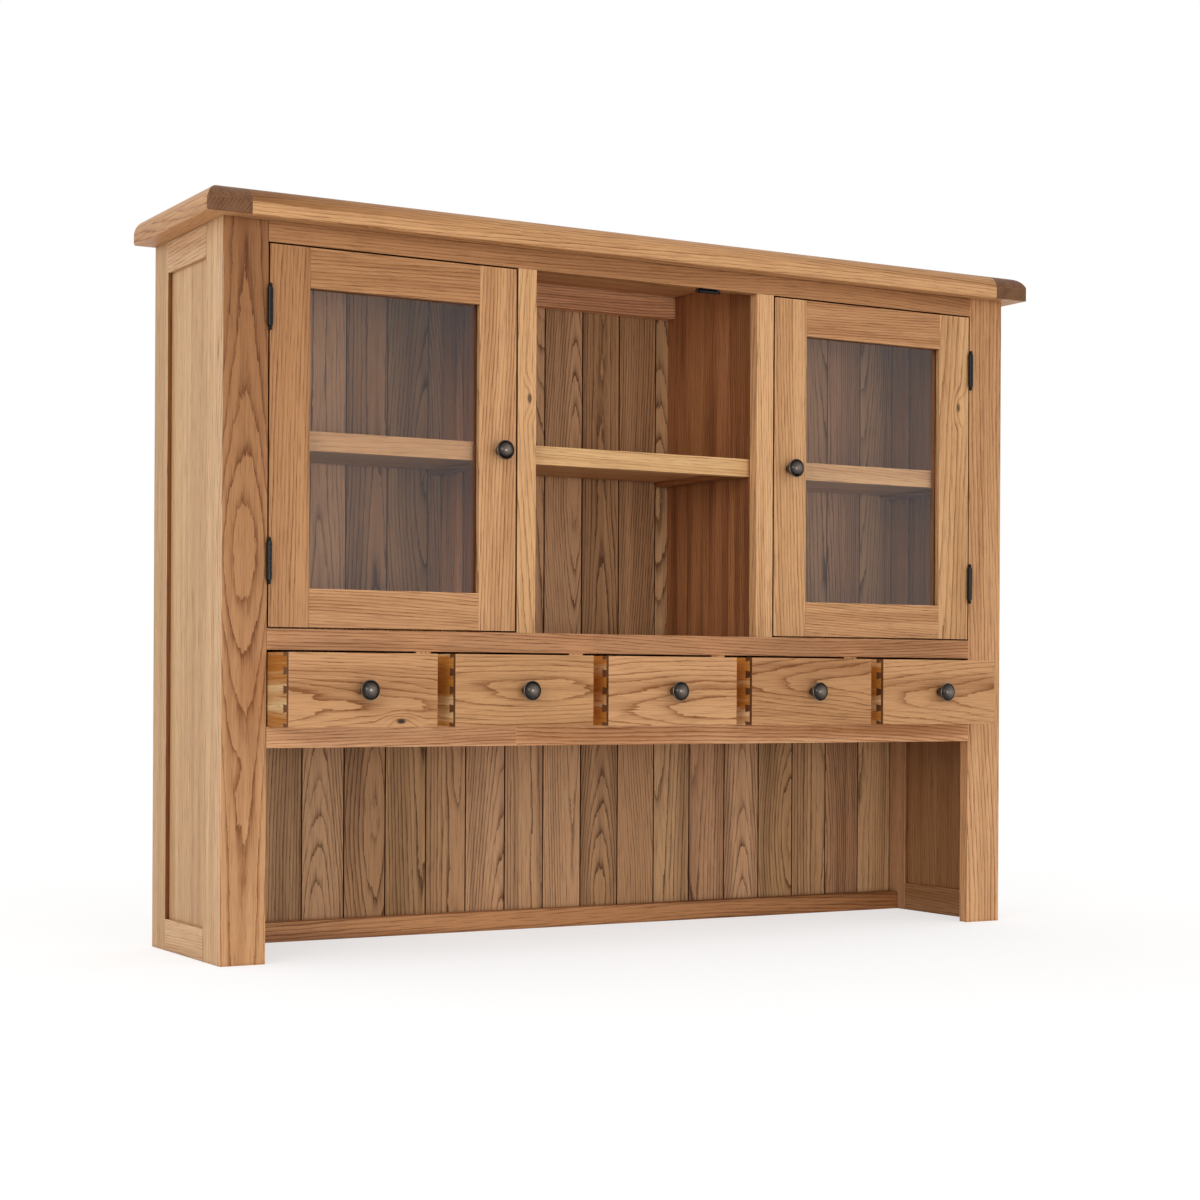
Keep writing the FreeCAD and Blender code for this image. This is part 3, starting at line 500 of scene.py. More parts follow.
def group_tree(name, kind, inputs, outputs):
    """Empty node group with sockets named under their kinds, and its helper, input and output."""
    tree = bpy.data.node_groups.new(name, kind)
    for direction, sockets in (("INPUT", inputs), ("OUTPUT", outputs)):
        for socket, labels in sockets.items():
            for label in labels:
                tree.interface.new_socket(label, in_out=direction, socket_type="NodeSocket" + socket)
    nodes = Nodes(tree)
    return nodes, nodes.add("NodeGroupInput").outputs, nodes.add("NodeGroupOutput").inputs


def shader_group(builder):
    """Shader group that a builder makes, made once and kept by the builder's name."""
    return bpy.data.node_groups.get(builder.__name__) or builder()


def oak_figure():
    """Growth rings, streaks, bands and pores of a board sawn from a log that runs along X."""
    nodes, given, wanted = group_tree(
        "oak_figure", "ShaderNodeTree", {"Vector": ("Grain", "Knot", "Figure")}, {"Float": FIGURE_PARTS})
    grain = given["Grain"]
    along, across, through = nodes.parts(grain)
    ring_width, wander, bow = nodes.parts(given["Figure"])
    slow = nodes.noise(grain, *SLOW_NOISE)
    quick = nodes.noise(grain, *QUICK_NOISE)
    knot_along, knot_across, knotty = nodes.parts(given["Knot"])
    knot_far = nodes.long(nodes.join(nodes.math("MULTIPLY", knot_along, KNOT_SQUASH), knot_across, 0.0))
    knot_here = nodes.math("MINIMUM", knotty, 1.0)
    knot_dark = nodes.math("SUBTRACT", knotty, 1.0, clamp=True)
    knot_pull = nodes.math("MULTIPLY", nodes.ramp(knot_far, 0.0, KNOT_REACH, KNOT_BEND, 0.0), knot_here)
    radius = nodes.long(nodes.join(0.0, across, through))
    rise = nodes.math("MULTIPLY", nodes.math("MULTIPLY", along, along), bow)
    swell = nodes.math("DIVIDE", rise, nodes.math("MULTIPLY_ADD", rise, SWELL_BRAKE, 1.0))
    strayed = nodes.math("ADD", radius, swell)
    strayed = nodes.math("MULTIPLY_ADD", nodes.math("SUBTRACT", slow, 0.5), wander, strayed)
    ruffle = nodes.math("MULTIPLY", ring_width, RUFFLE_SHARE)
    strayed = nodes.math("MULTIPLY_ADD", nodes.math("SUBTRACT", quick, 0.5), ruffle, strayed)
    strayed = nodes.math("ADD", strayed, knot_pull)
    years = nodes.math("DIVIDE", strayed, nodes.math("MAXIMUM", ring_width, LEAST_RING))
    season = nodes.math("FRACT", years)
    year = nodes.add("ShaderNodeTexWhiteNoise", {"W": nodes.math("FLOOR", years)}, noise_dimensions="1D")
    fade = nodes.math("POWER", nodes.math("SUBTRACT", 1.0, season), EARLY_FADE)
    early = nodes.math("MULTIPLY", fade, nodes.ramp(season, 0.0, EARLY_START))
    strength = nodes.math("MULTIPLY_ADD", year.outputs["Value"], YEAR_SPREAD, YEAR_LEAST)
    streaks = nodes.noise(grain, *STREAK_NOISE)
    bands = nodes.noise(grain, *BAND_NOISE)
    grit = nodes.noise(grain, *PORE_NOISE)
    dense = nodes.math("MULTIPLY_ADD", early, 1 - PORE_LEAST, PORE_LEAST)
    knot_core = nodes.math("MULTIPLY", nodes.ramp(knot_far, *KNOT_CORE, 1.0, 0.0), knot_dark)
    rings = nodes.math("MULTIPLY", early, strength)
    pores = nodes.math("MULTIPLY", nodes.ramp(grit, *PORE_LEVELS), dense)
    for label, value in zip(FIGURE_PARTS, (rings, streaks, bands, pores, knot_core)):
        nodes.feed(wanted[label], value)
    return nodes.tree


def oak_tint():
    """Colour of the oak from its figure, its board's own tone, its end grain, its edges lightened by wear and
    a painted highlight, its stain and painted shade, and painted shade in its crevices.
    """
    nodes, given, wanted = group_tree(
        "oak_tint", "ShaderNodeTree",
        {"Color": ("Light", "Dark"),
         "Float": (*FIGURE_PARTS, "Ring Depth", "Band Depth", "Tone", "Warm", "Deep", "End", "Edge", "Stain",
                   "Crevice")},
        {"Color": ("Color",)})
    sway = nodes.math("MULTIPLY", nodes.math("SUBTRACT", given["Streaks"], STREAK_MIDDLE), STREAK_DEPTH)
    band = nodes.math("MULTIPLY", nodes.ramp(given["Bands"], *BAND_LEVELS, -1.0, 1.0), given["Band Depth"])
    base = nodes.math("ADD", nodes.math("ADD", sway, band), given["Deep"])
    depth = nodes.math("MULTIPLY_ADD", given["Rings"], given["Ring Depth"], base, clamp=True)
    wood = nodes.mix(depth, given["Light"], given["Dark"])
    pore = nodes.mix(1.0, given["Dark"], PORE_SHADE, "MULTIPLY")
    wood = nodes.mix(nodes.math("MULTIPLY", given["Pores"], PORE_DEPTH), wood, pore)
    wood = nodes.mix(given["Knots"], wood, srgb(*KNOT_SCREEN))
    bleach = nodes.math("MULTIPLY", given["Stain"], -1.0, clamp=True)
    # Edges lighten with wear and a painted highlight, stain and painted shade darken, crevices darken with
    # painted shade, bleach lightens
    layers = ((given["End"], END_SHADE), (given["Edge"], WEAR_AND_HIGHLIGHT_TINT), (given["Stain"], STAIN_AND_SHADE_TINT),
              (given["Crevice"], CREVICE_SHADE_TINT), (bleach, BLEACH_SHADE))
    for share, shading in layers:
        wood = nodes.mix(share, wood, shading, "MULTIPLY")
    tone = nodes.math("MULTIPLY", given["Tone"], nodes.math("SUBTRACT", 1.0, bleach))
    level = nodes.math("MAXIMUM", nodes.math("ADD", tone, 1.0), LEAST_TONE)
    depths = nodes.join(*(nodes.math("POWER", level, power) for power in TONE_POWERS))
    toned = nodes.add("ShaderNodeHueSaturation", {
        "Hue": nodes.math("ADD", given["Warm"], 0.5), "Saturation": 1.0, "Value": 1.0, "Fac": 1.0,
        "Color": nodes.mix(1.0, wood, depths, "MULTIPLY")})
    nodes.feed(wanted["Color"], toned.outputs[0])
    return nodes.tree


def crevices():
    """Mask of painted shade in narrow gaps and joints, where neighbours close in on the surface."""
    nodes, given, wanted = group_tree(
        "crevices", "ShaderNodeTree", {"Float": ("Reach",)}, {"Float": ("Crevice",)})
    closed = nodes.add("ShaderNodeAmbientOcclusion", {"Distance": given["Reach"]}, samples=4)
    nodes.feed(wanted["Crevice"], nodes.ramp(closed.outputs["AO"], *CREVICE_LEVELS, 1.0, 0.0))
    return nodes.tree


def board_edges():
    """Mask of the edges of a box-shaped board, broken up by noise."""
    nodes, given, wanted = group_tree(
        "board_edges", "ShaderNodeTree",
        {"Vector": ("Local", "Half"), "Float": ("Reach",)}, {"Float": ("Edge",)})
    gap = nodes.parts(nodes.vector("SUBTRACT", given["Half"], nodes.vector("ABSOLUTE", given["Local"])))
    least = nodes.math("MINIMUM", nodes.math("MINIMUM", gap[0], gap[1]), gap[2])
    most = nodes.math("MAXIMUM", nodes.math("MAXIMUM", gap[0], gap[1]), gap[2])
    total = nodes.math("ADD", nodes.math("ADD", gap[0], gap[1]), gap[2])
    second = nodes.math("SUBTRACT", nodes.math("SUBTRACT", total, least), most)
    rough = nodes.noise(given["Local"], *EDGE_NOISE)
    reach = nodes.math("MULTIPLY", given["Reach"], nodes.ramp(rough, *EDGE_LEVELS, *WEAR_AND_HIGHLIGHT_SPREAD))
    nodes.feed(wanted["Edge"], nodes.ramp(nodes.math("DIVIDE", second, reach), 0.0, 1.0, 1.0, 0.0))
    return nodes.tree


def new_material(name):
    """Material with a node helper and its empty surface."""
    material = bpy.data.materials.new(name)
    material.use_nodes = True
    material.node_tree.nodes.clear()
    return material, Nodes(material.node_tree)


def place_group(nodes, builder, sockets):
    """Shader group in a material, with values or links in its sockets."""
    return nodes.add("ShaderNodeGroup", sockets, node_tree=shader_group(builder)).outputs


def show(nodes, shader):
    """Send a shader to the material's surface."""
    nodes.add("ShaderNodeOutputMaterial", {"Surface": shader.outputs[0]})


def principled(nodes, height, strength, distance, sockets):
    """Principled shader with a bump from a height, and values or links in its sockets."""
    bump = nodes.add("ShaderNodeBump", {"Height": height, "Strength": strength, "Distance": distance})
    return nodes.add("ShaderNodeBsdfPrincipled", {"Normal": bump.outputs[0], **sockets})


def oak(name, light, dark, ring_depth, roughness, band_depth):
    """Lacquered oak."""
    material, nodes = new_material(name)
    local = nodes.mark(LOCAL)
    tone, warm, deep = nodes.parts(nodes.mark(LOOK))
    grain = nodes.vector("ADD", local, nodes.mark(HEART))
    figure = place_group(nodes, oak_figure, {
        "Grain": grain, "Knot": nodes.mark(KNOT), "Figure": nodes.mark(FIGURE)})
    # Edges lightened by wear and by a painted highlight
    edges = place_group(nodes, board_edges, {
        "Local": local, "Half": nodes.mark(HALF), "Reach": WEAR_AND_HIGHLIGHT_REACH})
    # Painted shade in crevices and joints
    gaps = place_group(nodes, crevices, {"Reach": sizes().crevice_reach})
    tint = place_group(nodes, oak_tint, {
        "Light": light, "Dark": dark, "Ring Depth": ring_depth, "Band Depth": band_depth,
        **{label: figure[label] for label in FIGURE_PARTS}, "Tone": tone, "Warm": warm, "Deep": deep,
        "End": nodes.share(END), "Stain": nodes.share(STAIN_AND_SHADE),
        "Edge": nodes.math("MULTIPLY", edges["Edge"], WEAR_AND_HIGHLIGHT_SHARE), "Crevice": gaps["Crevice"]})
    relief = nodes.math("MULTIPLY", figure["Pores"], PORE_RELIEF)
    relief = nodes.math("MULTIPLY_ADD", figure["Rings"], RING_RELIEF, relief)
    satin = nodes.math("MULTIPLY_ADD", figure["Pores"], PORE_ROUGHNESS, roughness)
    satin = nodes.math("MULTIPLY_ADD", figure["Streaks"], STREAK_ROUGHNESS, satin)
    show(nodes, principled(nodes, relief, *OAK_BUMP, {
        "Base Color": tint["Color"], "Roughness": satin, "IOR": 1.4, "Specular IOR Level": 0.35}))
    return material


def tinted(colour, share):
    """Colour made darker or lighter by a share."""
    return [level * share for level in colour]


def metal(name, bare, dark, shine, roughness, scratch):
    """Metal with fine scratches, bare where it shines, where it is rubbed and where a highlight is painted,
    and dark in patches and in grooves, there as patina and painted shade.
    """
    material, nodes = new_material(name)
    place = nodes.here()
    patches = nodes.noise(place, *PATCH_NOISE)
    lines = nodes.noise(place, *SCRATCH_NOISE)
    # Grooves take the patina colour, as patina and as painted shade
    gaps = place_group(nodes, crevices, {"Reach": sizes().groove_reach})
    # Rubbing and painted highlight, with the shine all over and the patches
    rub = nodes.math("ADD", nodes.share(RUB_AND_HIGHLIGHT), shine)
    rub = nodes.math("MULTIPLY_ADD", patches, PATCH_RUB, rub, clamp=True)
    colour = nodes.mix(gaps["Crevice"], nodes.mix(rub, dark, bare), dark)
    gloss = nodes.math("MULTIPLY_ADD", patches, PATCH_ROUGHNESS, roughness)
    show(nodes, principled(nodes, lines, scratch, SCRATCH_DEPTH, {
        "Base Color": colour, "Metallic": 1.0, "Roughness": gloss}))
    return material


def worn_pewter():
    """Pewter of the knobs, with a dark patina and painted shade in its hollows, and a painted highlight where
    it is rubbed.
    """
    shades = finishes()
    return metal("pewter_finish", shades.pewter, shades.patina, shine=-0.1, roughness=0.22, scratch=0.05)


def bright_steel():
    """Steel of screws, nails, pins and strikes."""
    steel = finishes().steel
    return metal("steel_finish", steel, tinted(steel, 0.6), shine=0.5, roughness=0.25, scratch=0.2)


def painted_iron():
    """Satin black iron, a little dusty and rubbed."""
    material, nodes = new_material("black_iron_finish")
    place = nodes.here()
    dust = nodes.noise(place, *DUST_NOISE)
    iron = finishes().iron
    colour = nodes.mix(nodes.ramp(dust, *DUST_LEVELS), iron, tinted(iron, 1.6))
    gloss = nodes.math("MULTIPLY_ADD", dust, DUST_ROUGHNESS, IRON_ROUGHNESS)
    show(nodes, principled(nodes, dust, *IRON_BUMP, {
        "Base Color": colour, "Roughness": gloss, "Metallic": 0.0, "IOR": 1.32}))
    return material


def catch_plastic():
    """Brown moulded plastic with a fine grain."""
    material, nodes = new_material("catch_plastic_finish")
    place = nodes.here()
    grain = nodes.noise(place, *MOULD_NOISE)
    brown = finishes().catch
    colour = nodes.mix(grain, brown, tinted(brown, 1.3))
    gloss = nodes.math("MULTIPLY_ADD", grain, GRAIN_ROUGHNESS, CATCH_ROUGHNESS)
    show(nodes, principled(nodes, grain, *CATCH_BUMP, {"Base Color": colour, "Roughness": gloss}))
    return material


def clear_glass():
    """Float glass that lets the lamps shine through and has a trace of waviness and smears."""
    material, nodes = new_material("glass_finish")
    place = nodes.here()
    smear = nodes.noise(place, *SMEAR_NOISE)
    wave = nodes.noise(place, *GLASS_NOISE)
    tint = finishes().glass
    surface = principled(nodes, wave, *GLASS_BUMP, {
        "Base Color": tint, "Roughness": nodes.ramp(smear, *SMEAR_LEVELS, *GLASS_ROUGHNESS),
        "Transmission Weight": 1.0, "IOR": 1.42})
    clear = nodes.add("ShaderNodeBsdfTransparent", {"Color": tint})
    light = nodes.add("ShaderNodeLightPath")
    show(nodes, nodes.between(light.outputs["Is Shadow Ray"], surface, clear))
    return material


# Makers of the finishes other than oak
MAKERS = {
    "pewter": worn_pewter,
    "steel": bright_steel,
    "black_iron": painted_iron,
    "catch_plastic": catch_plastic,
    "glass": clear_glass,
}


def make_finish(slot):
    """New material for a slot of the record."""
    if slot in MAKERS:
        return MAKERS[slot]()
    kind = slot.removeprefix("oak_")
    light, dark = (getattr(finishes(), kind + end) for end in ("_light", "_dark"))
    return oak(slot + "_finish", light, dark, *OAKS[slot])


def finish(slot):
    """Material of a slot, made once."""
    return bpy.data.materials.get(slot + "_finish") or make_finish(slot)


def solids_of(node):
    """Closed solids of a frame node, each a list of triangles of corner points."""
    mesh = frame["nodes"][node].data
    points = [tuple(round(level, WELD_DIGITS) for level in vertex.co) for vertex in mesh.vertices]
    solids = []
    triangles = []
    open_edges = set()
    for polygon in mesh.polygons:
        corners = [points[index] for index in polygon.vertices]
        if len(set(corners)) < len(corners):
            continue
        triangles.append(corners)
        for start, end in zip(corners, corners[1:] + corners[:1]):
            if (end, start) in open_edges:
                open_edges.remove((end, start))
            else:
                open_edges.add((start, end))
        if not open_edges:
            solids.append(triangles)
            triangles = []
    if triangles:
        raise RuntimeError("the solids of " + node + " are not closed")
    return solids


def solid_mesh(triangles, ease=0.0):
    """Clean mesh of one solid, with its sharp outer edges eased if asked."""
    bm = bmesh.new()
    vertex_at = {}
    for triangle in triangles:
        for corner in triangle:
            if corner not in vertex_at:
                vertex_at[corner] = bm.verts.new(corner)
        bm.faces.new([vertex_at[corner] for corner in triangle])
    bmesh.ops.dissolve_limit(bm, angle_limit=FLAT_ANGLE, verts=bm.verts[:], edges=bm.edges[:])
    if ease:
        bm.normal_update()
        sharp = [edge for edge in bm.edges if edge.is_convex and edge.calc_face_angle(0.0) > EASE_ANGLE]
        bmesh.ops.bevel(bm, geom=sharp, offset=ease, segments=EASE_SEGMENTS, profile=0.5, affect="EDGES",
                        clamp_overlap=True)
    bm.normal_update()
    bm.verts.index_update()
    return bm


def span(bm):
    """Lowest and highest corner of the box round a solid."""
    corners = [vertex.co for vertex in bm.verts]
    return [Vector([pick(corner[axis] for corner in corners) for axis in range(3)]) for pick in (min, max)]


class Board:
    """One solid board: its mesh, the way its grain runs and where its log's heart lies."""

    def __init__(self, bm, draw, cut, tone=0.0, fall=0.0, warm=0.0, deep=0.0, along=None, heart=None,
                 knot=None, ring=1.0, wander=1.0, bow=1.0, stain=None):
        low, high = span(bm)
        self.bm = bm
        self.centre = (low + high) / 2
        half = (high - low) / 2
        axes = sorted(range(3), key=lambda axis: half[axis], reverse=True)
        if along is not None:
            axes = [along] + [axis for axis in axes if axis != along]
        self.axes = axes
        self.half = Vector([half[axis] for axis in axes])
        drawn = self.draw_heart(draw, cut)
        self.heart = drawn if heart is None else Vector(heart)
        self.look = Vector((tone + draw.uniform(-TONE_SPREAD, TONE_SPREAD),
                            warm + draw.uniform(-HUE_SPREAD, HUE_SPREAD), deep))
        self.fall = fall
        self.knot = knot
        size = sizes()
        spread = draw.uniform(*RING_SPREAD) if heart is None else 1.0
        self.figure = Vector((size.ring_width * ring * spread, size.ring_wander * wander,
                              size.ring_bow * bow))
        self.stain = stain

    def draw_heart(self, draw, cut):
        """Where the heart of the log lies from the middle of the board."""
        side = draw.choice((-1, 1))
        crown = cut == "crown"
        along, across, through = (draw.uniform(*ends) for ends in (CROWN_HEART if crown else RIFT_HEART))
        if crown:
            return Vector((along, across * self.half[1], side * through))
        return Vector((along, side * across, through))

    def marks(self):
        """What every point of the board carries for its finish."""
        rows = []
        for vertex in self.bm.verts:
            offset = vertex.co - self.centre
            local = Vector([offset[axis] for axis in self.axes])
            look = self.look.copy()
            look[0] += self.fall * local[0] / self.half[0]
            knot = Vector((0.0, 0.0, 0.0))
            if self.knot is not None:
                knot = Vector((local[0] - self.knot[0], local[1] - self.knot[1], 1.0 + self.knot[2]))
            rows.append((local, self.half, self.heart, look, knot, self.figure))
        return rows

    def end_grain(self, face):
        """Share of end grain on a face, from none along the grain to all across it."""
        steep = abs(face.normal[self.axes[0]])
        return min(1.0, max(0.0, (steep - END_START) / END_SPAN))

    def stained(self, face):
        """Share of stain and painted shade on a face, below nothing where it is bleached."""
        return self.stain(face.normal, face.calc_center_median()) if self.stain else 0.0


def settle(bm):
    """Turn all faces outwards and number the corners anew."""
    bmesh.ops.recalc_face_normals(bm, faces=bm.faces[:])
    bm.normal_update()
    bm.verts.index_update()


def smooth_normals(mesh):
    """Corner normals weighted by area within the sharp angle, so flats stay flat and rounds look round."""
    around = [[] for _ in mesh.vertices]
    for polygon in mesh.polygons:
        for index in polygon.vertices:
            around[index].append(polygon.index)
    limit = math.cos(SHARP_ANGLE)
    facing = [polygon.normal.copy() for polygon in mesh.polygons]
    area = [polygon.area for polygon in mesh.polygons]
    normals = []
    for polygon in mesh.polygons:
        own = facing[polygon.index]
        for index in polygon.vertices:
            total = Vector((0.0, 0.0, 0.0))
            for other in around[index]:
                if own.dot(facing[other]) >= limit:
                    total += facing[other] * area[other]
            normals.append(total.normalized())
    mesh.polygons.foreach_set("use_smooth", [True] * len(mesh.polygons))
    mesh.normals_split_custom_set(normals)


def plain_mesh(name, points, faces=()):
    """Mesh of points and faces, or of loose points alone."""
    mesh = bpy.data.meshes.new(name)
    mesh.from_pydata(points, [], faces)
    return mesh


def smooth_mesh(name, bm):
    """Mesh of a solid, with smooth normals."""
    mesh = bpy.data.meshes.new(name)
    bm.to_mesh(mesh)
    bm.free()
    smooth_normals(mesh)
    return mesh


def mesh_of_boards(name, boards):
    """One mesh of several boards, with their marks as attributes."""
    points = []
    faces = []
    ends = []
    stain_and_shade_shares = []
    marks = []
    for board in boards:
        base = len(points)
        points += [tuple(vertex.co) for vertex in board.bm.verts]
        marks += board.marks()
        for face in board.bm.faces:
            faces.append([base + vertex.index for vertex in face.verts])
            ends.append(board.end_grain(face))
            stain_and_shade_shares.append(board.stained(face))
        board.bm.free()
    mesh = plain_mesh(name, points, faces)
    for place, label in enumerate(VECTOR_MARKS):
        layer = mesh.attributes.new(label, "FLOAT_VECTOR", "POINT")
        layer.data.foreach_set("vector", [level for row in marks for level in row[place]])
    for label, shares in ((END, ends), (STAIN_AND_SHADE, stain_and_shade_shares)):
        mesh.attributes.new(label, "FLOAT", "FACE").data.foreach_set("value", shares)
    smooth_normals(mesh)
    return mesh


def new_object(name, data):
    """Object of a mesh, a lamp or a camera in the scene."""
    thing = bpy.data.objects.new(name, data)
    bpy.context.scene.collection.objects.link(thing)
    return thing


def paint(mesh, slot):
    """Finish of a slot as a mesh's only material."""
    mesh.materials.clear()
    mesh.materials.append(finish(slot))


def new_piece(name, mesh, body, slot, replaced=()):
    """Object of a mesh with the finish of a slot, carried by a body, in place of frame nodes."""
    paint(mesh, slot)
    piece = new_object(name, mesh)
    if replaced:
        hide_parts(*replaced)
    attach(piece, body)
    return piece


def oak_piece(node, cut="rift", ease=0.0, each=(), **traits):
    """Oak boards in place of a frame node, with traits for all its solids or for each in turn."""
    draw = random.Random(node)
    boards = []
    for index, triangles in enumerate(solids_of(node)):
        own = dict(traits)
        if index < len(each):
            own.update(each[index])
        saw = own.pop("saw", None)
        bm = solid_mesh(triangles, ease)
        for stave in (staves(bm, *saw) if saw else [bm]):
            boards.append(Board(stave, draw, cut, **own))
    return board_piece(node, boards)


def board_piece(node, boards):
    """Piece made of boards in place of a frame node."""
    name = "oak_" + node
    slot = SLOT_OF[node]
    return new_piece(name, mesh_of_boards(name, boards), BODY_OF[node], slot, (node,))


def staves(bm, axis, width):
    """Closed staves of a glued-up board, about a width apart along an axis."""
    low, high = (corner[axis] for corner in span(bm))
    count = max(1, round((high - low) / width))
    step = (high - low) / count
    return sawn(bm, axis, [low + index * step for index in range(1, count)])


def sawn(bm, axis, places):
    """Closed parts of a solid, sawn straight through at places along an axis."""
    parts = []
    for side in places:
        rest = bm.copy()
        for body, way in ((bm, 1.0), (rest, -1.0)):
            facing = Vector((0.0, 0.0, 0.0))
            facing[axis] = way
            point = Vector((0.0, 0.0, 0.0))
            point[axis] = side
            whole = body.verts[:] + body.edges[:] + body.faces[:]
            cut = bmesh.ops.bisect_plane(body, geom=whole, plane_co=point, plane_no=facing, clear_outer=True)
            rim = [item for item in cut["geom_cut"] if isinstance(item, bmesh.types.BMEdge)]
            bmesh.ops.edgeloop_fill(body, edges=rim)
            settle(body)
        parts.append(bm)
        bm = rest
    return parts + [bm]


def turned(profile, place):
    """Mesh turned about a line along Y through a place, from rows of radius, depth and share of rubbing and
    painted highlight.
    """
    bm = bmesh.new()
    rub_and_highlight_layer = bm.verts.layers.float.new(RUB_AND_HIGHLIGHT)
    rings = []
    for radius, depth, rub in profile:
        ring = []
        for step in range(TURN_STEPS if radius else 1):
            angle = 2 * math.pi * step / TURN_STEPS
            spoke = Vector((radius * math.cos(angle), depth, radius * math.sin(angle)))
            ring.append(bm.verts.new(place + spoke))
            ring[-1][rub_and_highlight_layer] = rub
        rings.append(ring)
    for first, second in zip(rings, rings[1:]):
        for step in range(TURN_STEPS):
            after = step + 1
            corners = (first[step % len(first)], first[after % len(first)], second[after % len(second)],
                       second[step % len(second)])
            bm.faces.new(list(dict.fromkeys(corners)))
    settle(bm)
    return smooth_mesh("turned", bm)


def dress(node):
    """Finish of its slot on a frame node whose own shape is kept."""
    paint(frame["nodes"][node].data, SLOT_OF[node])


def grow(base, tree, values):
    """Plain mesh that a node tree grows from a base mesh with the given inputs."""
    grower = new_object(tree.name, base)
    modifier = grower.modifiers.new(tree.name, "NODES")
    modifier.node_group = tree
    for item in tree.interface.items_tree:
        if item.in_out == "INPUT" and item.name in values:
            modifier[item.identifier] = values[item.name]
    graph = bpy.context.evaluated_depsgraph_get()
    mesh = bpy.data.meshes.new_from_object(grower.evaluated_get(graph), preserve_all_data_layers=True,
                                           depsgraph=graph)
    grower.modifiers.remove(modifier)
    bpy.data.objects.remove(grower)
    return mesh


def row_of(nodes, count, start, step):
    """Points in a row."""
    return nodes.add("GeometryNodeMeshLine", {"Count": count, "Start Location": start, "Offset": step},
                     mode="OFFSET").outputs[0]


def copies(nodes, points, shape, turn=(0.0, 0.0, 0.0)):
    """Copies of a shape on points, as instances."""
    return nodes.add("GeometryNodeInstanceOnPoints", {"Points": points, "Instance": shape,
                                                      "Rotation": turn}).outputs[0]


def realized(nodes, instances):
    """Instances as one plain mesh."""
    return nodes.add("GeometryNodeRealizeInstances", {0: instances}).outputs[0]


def painted(nodes, mesh, material):
    """Mesh with a material."""
    return nodes.add("GeometryNodeSetMaterial", {"Geometry": mesh, "Material": material}).outputs[0]


def stored(nodes, mesh, label, value, kind, domain):
    """Mesh or instances that carry a value under a name."""
    return nodes.add("GeometryNodeStoreNamedAttribute", {"Geometry": mesh, "Name": label, "Value": value},
                     data_type=kind, domain=domain).outputs[0]


def matchboard_tree():
    """Row of like boards with tongues in their joints, each board from its own log."""
    limits = [trait + end for trait in BOARD_TRAITS for end in (" Least", " Most")]
    nodes, given, wanted = group_tree(
        "matchboards", "GeometryNodeTree",
        {"Geometry": ("Geometry",), "Int": ("Count", "Seed"), "Float": ("Pitch",),
         "Vector": ("First", "Tongue", *limits), "Material": ("Finish",)},
        {"Geometry": ("Geometry",)})
    step = nodes.join(given["Pitch"], 0.0, 0.0)
    boards = copies(nodes, row_of(nodes, given["Count"], given["First"], step), given["Geometry"])
    index = nodes.add("GeometryNodeInputIndex").outputs[0]
    for turn, (label, trait) in enumerate(zip((HEART, LOOK, FIGURE), BOARD_TRAITS)):
        seed = nodes.math("ADD", given["Seed"], float(turn))
        chance = nodes.add("FunctionNodeRandomValue", {
            0: given[trait + " Least"], 1: given[trait + " Most"], "ID": index, "Seed": seed},
            data_type="FLOAT_VECTOR")
        boards = stored(nodes, boards, label, chance.outputs[0], "FLOAT_VECTOR", "INSTANCE")
    between = nodes.vector("ADD", given["First"], nodes.vector("MULTIPLY", step, (0.5, 0.5, 0.5)))
    gaps = row_of(nodes, nodes.math("SUBTRACT", given["Count"], 1.0), between, step)
    strip = nodes.add("GeometryNodeMeshCube", {"Size": given["Tongue"]}).outputs[0]
    # The tongues are fully darkened, as painted shade in the gaps between the boards
    tongues = stored(nodes, realized(nodes, copies(nodes, gaps, strip)), STAIN_AND_SHADE, 1.0, "FLOAT", "FACE")
    whole = nodes.add("GeometryNodeJoinGeometry")
    nodes.feed(whole.inputs[0], realized(nodes, boards))
    nodes.feed(whole.inputs[0], tongues)
    nodes.feed(wanted[0], painted(nodes, whole.outputs[0], given["Finish"]))
    return nodes.tree


def nail_tree():
    """Round heads on every point of a pattern, which is repeated in a row."""
    nodes, given, wanted = group_tree(
        "nail_heads", "GeometryNodeTree",
        {"Geometry": ("Geometry",), "Int": ("Count",), "Float": ("Pitch", "Radius", "Stand"),
         "Material": ("Finish",)},
        {"Geometry": ("Geometry",)})
    row = row_of(nodes, given["Count"], (0.0, 0.0, 0.0), nodes.join(given["Pitch"], 0.0, 0.0))
    points = realized(nodes, copies(nodes, row, given["Geometry"]))
    head = nodes.add("GeometryNodeMeshCylinder", {"Vertices": HEAD_SIDES, "Radius": given["Radius"],
                                                  "Depth": given["Stand"]}).outputs[0]
    heads = realized(nodes, copies(nodes, points, head, (math.pi / 2, 0.0, 0.0)))
    nodes.feed(wanted[0], painted(nodes, heads, given["Finish"]))
    return nodes.tree


class HutchOperator(bpy.types.Operator):
    """Shared settings of the operators that build the hutch."""
    bl_options = {"REGISTER"}


